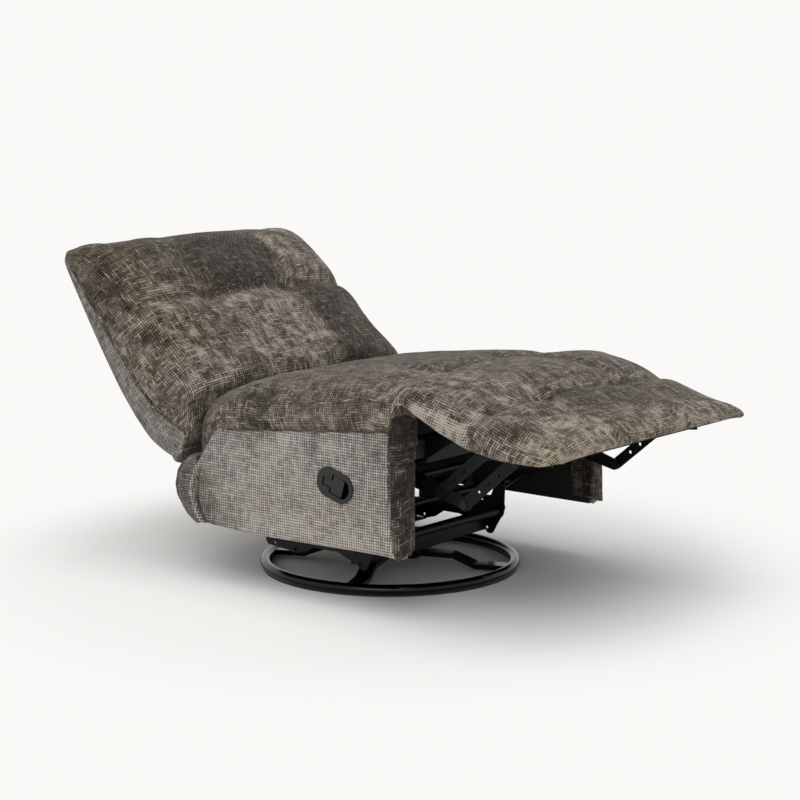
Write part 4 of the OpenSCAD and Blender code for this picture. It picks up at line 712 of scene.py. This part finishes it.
# %% Side panels
def panel_grids(side):
    """Outer face and hidden inner face of a side panel, and its tone."""
    rows = [np.linspace(-344, -318, 8), np.linspace(-310, 232, 58), np.linspace(238, 280, 13)]
    cols = [np.linspace(0, 0.05, 6), np.linspace(0.075, 0.93, 36), np.linspace(0.95, 1, 6)]
    if side < 0:
        # finer round the handle
        rows.append(np.arange(-232, -117, 2.4))
        cols.append(np.linspace(0.36, 0.72, 44))
    along = (thinned(rows, 1, 1.5) - PANEL_START) / PANEL_SPAN
    rise = thinned(cols, 4, 0.0045)
    along[-1] = rise[-1] = 1
    along, rise = along[:, None], rise[None, :]
    # place and height depend on each other at the slanting edges, so three rounds start from a guess
    y = np.repeat(along * 600 + PANEL_START, rise.size, 1)
    for _ in range(3):
        low, high = line(PANEL_LOW_LINE, y), seam_height(y) - 0.3
        z = low + rise * (high - low)
        start, end = line(PANEL_FRONT_LINE, z), line(PANEL_REAR_LINE, z)
        y = start + along * (end - start)
    full = eased(y - start, 9) * (0.2 + 0.8 * eased(end - y, 11))
    full *= (0.3 + 0.7 * eased(z - low, 10))
    puff = 3.0 * np.sin(math.pi * along) ** 0.5 * np.sin(math.pi * rise) ** 0.6
    # creases: beside the handle, at the front edge, and the flange that follows the rear edge
    crease = 4.0 * hill(y + 112 - 0.14 * (400 - z), 9) * slope(z, 285, 60)
    for at, deep, wide, fall, reach in FRONT_CREASES:
        crease += deep * hill(z - at + fall * (y - PANEL_START), wide) * hill(y + 335, reach)
    in_from_rear = end - y
    flange = slope(z, 290, -60)
    crease += 9.0 * hill(in_from_rear - 27, 7) * flange - 3.0 * hill(in_from_rear - 14, 8) * flange
    crease += 3.0 * hill(in_from_rear - 70, 22) * slope(z, 230, -80)
    crease += 1.5 * np.sin(y / 38 + z / 60) * hill(z - 230, 90)
    x = PANEL_INNER + (PANEL_OUTER - PANEL_INNER) * full + (puff - crease) * full
    # the bezel sits flat on the cloth, which is cut out behind its rim
    away = from_handle(y, z)
    near = slope(away, 78, -44) ** 2
    x = x * (1 - near) + np.minimum(x, BEZEL_SEAT) * near
    if side < 0:
        x = np.where(away < CUT_OUT, CUT_FLOOR, x)
    x = np.minimum(x, PANEL_MOST)
    out = np.stack([side * x, y, z], -1)
    hidden = np.stack([np.full(x.shape, side * PANEL_INNER), y, z], -1)
    share_border(hidden, out)
    nap_and_shade = 0.13 + 0.10 * hill(y + 40, 150) + 0.10 * hill(z - 160, 40) * (y < 100)
    # brushed dark near the seat, as hands leave it
    smear = slope(z - high + 22 * np.sin(y / 47), -30, 40) * slope(y, -130, 130)
    nap_and_shade -= 0.22 * smear + 0.12 * hill(y - 236, 22) + 0.30 * hill(np.hypot(y - 196, (z - 168) * 0.8), 42)
    # painted shade along the crease beside the handle
    nap_and_shade -= 0.34 * hill(y + 118 - 0.14 * (400 - z), 17) * slope(z, 280, 60)
    # darker near the top of the front edge; painted shade in the fold along the rear flange and beside it,
    # and painted highlight on the ridge at its edge
    nap_and_shade -= 0.22 * hill(y + 300, 60) * hill(z - 360, 60) + 0.70 * hill(in_from_rear - 27, 8) * flange
    nap_and_shade -= 0.26 * hill(in_from_rear - 50, 22) * flange
    nap_and_shade += 0.22 * hill(in_from_rear - 12, 9) * flange
    return out, hidden, tone_of(nap_and_shade, 0.10 * hill(z - 200, 60))


for side, word in SIDES:
    # the left panel is a mirror image, so its grids are turned round to keep the outer face outside
    out, hidden, tone = (grid[:, ::-side] for grid in panel_grids(side))
    panel = sew("side_panel_" + word, out / 1000, hidden / 1000, tone, panel_chenille, flat_axes=(1, 2))
    smooth_out(panel)
    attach(panel, "seat")
    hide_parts("side_upholstery_" + word)
    print(panel.name, len(panel.data.polygons), "faces")


# %% Front strips
STRIP_INNER_LINE = [(130, 338.6), (350, 338.6), (373, 336), (379, 330), (470, 330)]
# folds across the strip: height, depth, width, tilt
STRIP_FOLDS = ((383, 5.0, 4.5, 0.06), (373, -4.0, 4.0, 0.096), (366, 3.2, 4.0, -0.03),
               (351, 5.5, 5.5, 0.096), (343, -4.5, 5.0, 0.06), (334, 3.0, 5.0, 0.132))


def strip_folds(x, z):
    """How far the folds of a front strip stand out, in millimetres."""
    return sum(deep * hill(z - at + tilt * (x - 366), wide) for at, deep, wide, tilt in STRIP_FOLDS)


def strip_grids(side):
    """Padded strip round the front edge of a side panel: its front face and the face behind it."""
    across = (spread(27, 2.4)[None, :] + 1) / 2
    rise = np.concatenate([np.linspace(0, 0.04, 5), np.linspace(0.05, 0.93, 84), np.linspace(0.945, 1, 6)])
    low = 134 + 17 * across ** 1.4
    high = np.interp(across, [0, 0.35, 1], [464, 480, 484])
    z = low + rise[:, None] * (high - low)
    near, inner = line(PANEL_FRONT_LINE, z), line(STRIP_INNER_LINE, z)
    outer = PANEL_OUTER - 1
    x = outer - (outer - inner) * across
    y = near + (PANEL_START + 1 - near) * eased(across, 0.42)
    full = np.where(across < 0.5, (4 * across * (1 - across)) ** 0.45, 1 - 0.6 * np.abs(2 * across - 1) ** 4)
    depth = 8.5 * full * eased(z - low, 9) * eased(high - z, 14)
    depth += strip_folds(x, z) * full * (0.3 + 0.7 * across ** 0.5) + 1.2 * np.sin(z / 23) * full
    face, rear = np.stack([side * x, y - depth, z], -1), np.stack([side * x, y + 1.5, z], -1)
    # the cloth goes on round the board and is stapled to its inner face
    on = np.linspace(0.06, 1, 9)[None, :]
    height, board = (np.repeat(grid[:, -1:], on.size, 1) for grid in (z, inner))
    behind = face[:, -1:, 1] + (60 + 3 * np.sin(height / 31)) * on
    face = np.concatenate([face, np.stack([side * (board - 1.0), behind, height], -1)], 1)
    rear = np.concatenate([rear, np.stack([side * (board + 0.8), behind, height], -1)], 1)
    x, z = np.concatenate([x, board], 1), np.concatenate([z, height], 1)
    share_border(rear, face)
    # lighter low down; painted shade at the top, where the pad's front roll sits over it, and painted
    # highlight on the folds that stand out, painted shade in those that sink
    nap_and_shade = -0.02 + 0.28 * hill(z - 180, 60) - 0.12 * slope(z, 380, 40) + 0.07 * strip_folds(x, z)
    return face, rear, tone_of(nap_and_shade)


for side, word in SIDES:
    face, rear, tone = (grid[:, ::-side] for grid in strip_grids(side))
    strip = sew("front_strip_" + word, face / 1000, rear / 1000, tone, edge_chenille)
    smooth_out(strip)
    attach(strip, "seat")
    print(strip.name, len(strip.data.polygons), "faces")

# %% [markdown]
# ## The rear skirt
#
# A padded flap closes the seat box below the back. On this chair it is cut long, so that it rolls
# outwards in a soft lip behind each side panel.

# %% Rear skirt
SKIRT_FRONT, SKIRT_HALF = 251, 395.0
# its outline from front to rear and up, and how full it is at a distance from its middle
SKIRT_LINE = [(252, 134), (272, 137), (299, 149), (322, 166), (341, 188), (350, 214), (341, 246),
              (316, 273), (284, 291), (256, 295)]
SKIRT_FULL = [(0, 0.66), (300, 0.70), (340, 0.92), (366, 1.0), (375, 0.97), (380, 0.74), (384, 0.70),
              (389, 0.74), (393, 0.58), (395, 0.30)]


def skirt_grids():
    """Rear face and hidden front face of the skirt, and its tone."""
    share = spread(121, 4.0)[None, :]
    outline = even(SKIRT_LINE, 44)
    x = np.repeat(SKIRT_HALF * share, len(outline), 0)
    z = np.repeat(outline[:, 1:], share.size, 1)
    width = np.abs(x)
    # behind each panel the flap ends in a full roll, then a fold, then a thin second roll
    y = SKIRT_FRONT + (outline[:, :1] - SKIRT_FRONT) * line(SKIRT_FULL, width)
    y = y + 2.5 * np.sin(z / 21 + x / 60) * hill(width - 372, 30) \
        + 1.6 * np.sin(x / 55 + z / 40) * slope(y, 262, 30)
    face = np.stack([x, y, z], -1)
    hidden = np.stack([x, np.full(x.shape, SKIRT_FRONT - 0.4), z], -1)
    share_border(hidden, face)
    # painted shade in the fold between the two rolls; darker towards the rolls at each end
    return face, hidden, tone_of(0.02 - 0.8 * hill(width - 381, 4) - 0.22 * slope(width, 340, 30))


face, hidden, tone = skirt_grids()
rear_skirt = sew("rear_skirt_pad", face / 1000, hidden / 1000, tone, shell_chenille)
smooth_out(rear_skirt)
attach(rear_skirt, "seat")
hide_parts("rear_skirt")
print("rear skirt", len(rear_skirt.data.polygons), "faces")

# %% [markdown]
# ## Seams
#
# Where two covers meet, the seam shows as a thin ridge of turned-in cloth with a stitch every few
# millimetres. It is a rope of cloth along the seam, thinner at each stitch. One runs between seat pad and
# side panel, one goes round the back, between its pad and its shell.

# %% Seam ridges
STITCH = 0.007
# no seam runs along this direction, so it can tell a ridge which way is sideways
ASIDE = (0.31, 0.17, 0.93)


def seam_ridge(name, path, radius, finish):
    """A ridge of cloth along a path in metres, drawn in by each stitch."""
    step = np.linalg.norm(np.diff(path, axis=0), axis=1)
    run = np.concatenate([[0], np.cumsum(step)])
    ahead = np.gradient(path, axis=0)
    ahead /= np.linalg.norm(ahead, axis=1, keepdims=True)
    across = np.cross(ahead, ASIDE)
    across /= np.linalg.norm(across, axis=1, keepdims=True)
    above = np.cross(ahead, across)
    turn = np.linspace(0, 2 * math.pi, 9)[:-1]
    thick = radius * (1 - 0.28 * np.abs(np.cos(math.pi * run / STITCH)) ** 6)
    thick[0] = thick[-1] = radius * 0.2
    ring = np.cos(turn)[None, :, None] * across[:, None, :] + np.sin(turn)[None, :, None] * above[:, None, :]
    points = (path[:, None, :] + thick[:, None, None] * ring).reshape(-1, 3)
    count, around = len(path), len(turn)
    quads = [(i * around + k, i * around + (k + 1) % around, (i + 1) * around + (k + 1) % around,
              (i + 1) * around + k) for i in range(count - 1) for k in range(around)]
    ends = [tuple(range(around))[::-1], tuple(range((count - 1) * around, count * around))]
    flat = np.stack([np.repeat(run, around), np.tile(turn * radius, count)], -1)
    corner = flat[[point for face in quads + ends for point in face]]
    shade = np.tile(np.array([-0.10, 0, 0, 1], np.float32), (len(points), 1))
    return cloth_piece(name, points, quads + ends, corner, shade, finish)


for side, word in SIDES:
    y = np.arange(-320, 151, 1.75)
    path = np.stack([np.full(y.shape, side * 399.3), y, seam_height(y) - 1.6], -1) / 1000
    ridge = seam_ridge("seat_seam_" + word, path, 0.0016, pad_chenille)
    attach(ridge, "seat")
# the back's seam: up the near side, over the top, down the far side
z = np.append(np.arange(70, 520, 1.75), np.linspace(521, 533, 16))
seam = line(SEAM_LINE, z)
near_side = np.stack([-back_half(z) - 0.4, seam, z], -1)
over_top = np.linspace(near_side[-1, 0], -near_side[-1, 0], 330)[1:-1]
over_top = np.stack([over_top, np.full(over_top.shape, seam[-1]), np.full(over_top.shape, 533.6)], -1)
far_side = near_side[::-1] * (-1, 1, 1)
path = to_chair(np.concatenate([near_side, over_top, far_side]))
ridge = seam_ridge("back_seam", path, 0.0017, shell_chenille)
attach(ridge, "back")
print("seams made")

# %% [markdown]
# ## Paint, steel, plastic and wood
#
# The ring and arms are steel tube and pressings with baked gloss enamel, a little uneven, as dipped
# paint is. The mechanism is pressed steel in satin black powder coat. Bolts and pins are plated in black
# zinc, the bearing is ground steel. The handle is moulded plastic with a fine grain. Hidden boards are
# plain pine, or black where they stand for the black dust cloth round them and for painted shade under
# the seat. Noise sizes come from real ones: orange peel about 3 mm, powder grit about 1 mm, wood grain
# 3 mm across and 100 mm along.

# %% Hard finishes
WEAR_SCALE, ROUGH_DRIFT = 9.0, 0.12
GRAIN = (1, 0.03, 1)


def hard(name, base, other, rough, size, metallic=0.0, relief=0.0004, specular=0.5, ior=1.5,
         stretch=(1, 1, 1)):
    """A solid finish whose colour and roughness drift between two values over a real size in metres."""
    finish, tree = new_finish(name)
    place = put(tree, "TexCoord").outputs["Object"]
    scaled = put(tree, "Mapping", {"Vector": place, "Scale": stretch}).outputs[0]
    grit = put(tree, "TexNoise", {"Vector": scaled, "Scale": 1 / size, "Detail": 3.0}).outputs["Fac"]
    wear = put(tree, "TexNoise", {"Vector": place, "Scale": WEAR_SCALE, "Detail": 5.0,
                                  "Roughness": 0.65}).outputs["Fac"]
    mixed = math_of(tree)("ADD", grit, wear)
    half = put(tree, "MapRange", {"Value": mixed, "From Min": 0.75, "From Max": 1.3}).outputs[0]
    tint = stops(put(tree, "ValToRGB", {"Fac": half}), (0.0, base), (1.0, other))
    gloss = put(tree, "MapRange", {"Value": wear, "From Min": 0.3, "From Max": 0.7,
                                   "To Min": rough - ROUGH_DRIFT / 2, "To Max": rough + ROUGH_DRIFT / 2})
    bump = put(tree, "Bump", {"Height": grit, "Strength": 0.4, "Distance": relief})
    inputs = {"Base Color": tint.outputs["Color"], "Roughness": gloss.outputs[0], "Normal": bump.outputs[0],
              "Metallic": metallic}
    if not metallic:
        inputs.update({"IOR": ior, "Specular IOR Level": specular})
    put(tree, "OutputMaterial", {"Surface": put(tree, "BsdfPrincipled", inputs).outputs[0]})
    return finish


finishes = {
    "black_enamel": hard("gloss_enamel_black", "#020203", "#050506", 0.16, 0.003, relief=0.00012,
                         specular=0.24),
    "mechanism_paint": hard("powder_coat_black", "#040405", "#0a0a0c", 0.42, 0.0012, relief=0.0002,
                            specular=0.2),
    "zinc": hard("black_zinc_plate", "#232426", "#3a3b3e", 0.38, 0.002, metallic=1.0),
    "bearing_steel": hard("ground_bearing_steel", "#9a9ca0", "#c2c4c8", 0.18, 0.001, metallic=1.0),
    "bush_plastic": hard("acetal_bush_white", "#c9c6bd", "#dcdad2", 0.4, 0.004, ior=1.48),
    "strip_rubber": hard("rubber_strip_black", "#141414", "#202020", 0.75, 0.002, ior=1.52),
    "handle_plastic": hard("moulded_abs_black", "#0a0a0b", "#121213", 0.42, 0.0008, relief=0.00015,
                           ior=1.53, specular=0.4),
    "cable_sheath": hard("vinyl_sheath_black", "#101010", "#1c1c1c", 0.5, 0.002),
    "pine": hard("planed_pine", "#b58f5a", "#d4b27c", 0.6, 0.003, stretch=GRAIN),
    # black boards: the black dust cloth round them, and painted shade under the seat
    "dark_board": hard("board_black_cloth_and_shade", "#0e0d0c", "#1c1916", 0.7, 0.003, stretch=GRAIN),
    "dust_cloth": hard("spunbond_cloth_black", "#0a0a0a", "#161616", 0.95, 0.001, relief=0.0003),
    "webbing": hard("woven_webbing_black", "#121212", "#2a2a28", 0.85, 0.0025, relief=0.0006),
    "pad_fabric": pad_chenille,
    "side_fabric": panel_chenille,
}
for row in frame["record"]["subparts"]:
    part = frame["nodes"][row["node"]]
    part.data.materials.clear()
    part.data.materials.append(finishes[row["material_slot"]])

# %% [markdown]
# ## Studio
#
# A pale floor that runs into a pale wall, light from a broad soft source overhead, and a gentle fill.
# The floor takes the chair's shadow near it. Further out it turns to the same plain pale colour as the
# background, by its own place, so no horizon shows.

# %% Floor, background and lamps
PALE = colour("#faf9f7")


def seen_share(tree):
    """1 for rays that come from the camera, through glass or off a mirror, 0 for those that only light."""
    rays, calc = put(tree, "LightPath").outputs, math_of(tree)
    return calc("MAXIMUM", calc("MAXIMUM", rays["Is Camera Ray"], rays["Is Transmission Ray"]),
                rays["Is Glossy Ray"])


world = bpy.data.worlds.new("studio")
bpy.context.scene.world = world
world.use_nodes = True
air = world.node_tree
air.nodes.clear()
fill = put(air, "Background", {"Color": colour("#ffffff"), "Strength": 0.42})
wall = put(air, "Background", {"Color": PALE, "Strength": 1.0})
both = put(air, "MixShader", {0: seen_share(air), 1: fill.outputs[0], 2: wall.outputs[0]})
put(air, "OutputWorld", {"Surface": both.outputs[0]})

floor_mesh = bpy.data.meshes.new("studio_floor")
floor_mesh.from_pydata([(-40, -40, 0), (40, -40, 0), (40, 40, 0), (-40, 40, 0)], [], [(0, 1, 2, 3)])
floor = add_to_scene("studio_floor", floor_mesh)
paper, tree = new_finish("studio_paper")
far = put(tree, "VectorMath", {0: put(tree, "TexCoord").outputs["Object"]}, operation="LENGTH")
outer = put(tree, "MapRange", {"Value": far.outputs["Value"], "From Min": 0.72, "From Max": 1.2},
            interpolation_type="SMOOTHSTEP")
amount = math_of(tree)("MULTIPLY", outer.outputs[0], seen_share(tree))
matt = put(tree, "BsdfDiffuse", {"Color": colour("#fbfaf8")})
glow = put(tree, "Emission", {"Color": PALE, "Strength": 1.0})
mixed = put(tree, "MixShader", {0: amount, 1: matt.outputs[0], 2: glow.outputs[0]})
put(tree, "OutputMaterial", {"Surface": mixed.outputs[0]})
floor_mesh.materials.append(paper)


def lamp(name, tilt, turn, strength, angle):
    """A distant soft source: tilt from overhead and turn about the chair, in degrees."""
    light = bpy.data.lights.new(name, "SUN")
    light.energy = strength
    light.angle = math.radians(angle)
    add_to_scene(name, light).rotation_euler = (math.radians(tilt), 0, math.radians(turn))


lamp("overhead_softbox", 14, -60, 1.35, 70)
lamp("near_softbox", 58, -62, 0.75, 40)
bpy.context.scene.view_settings.view_transform = "Standard"
print("studio lit")
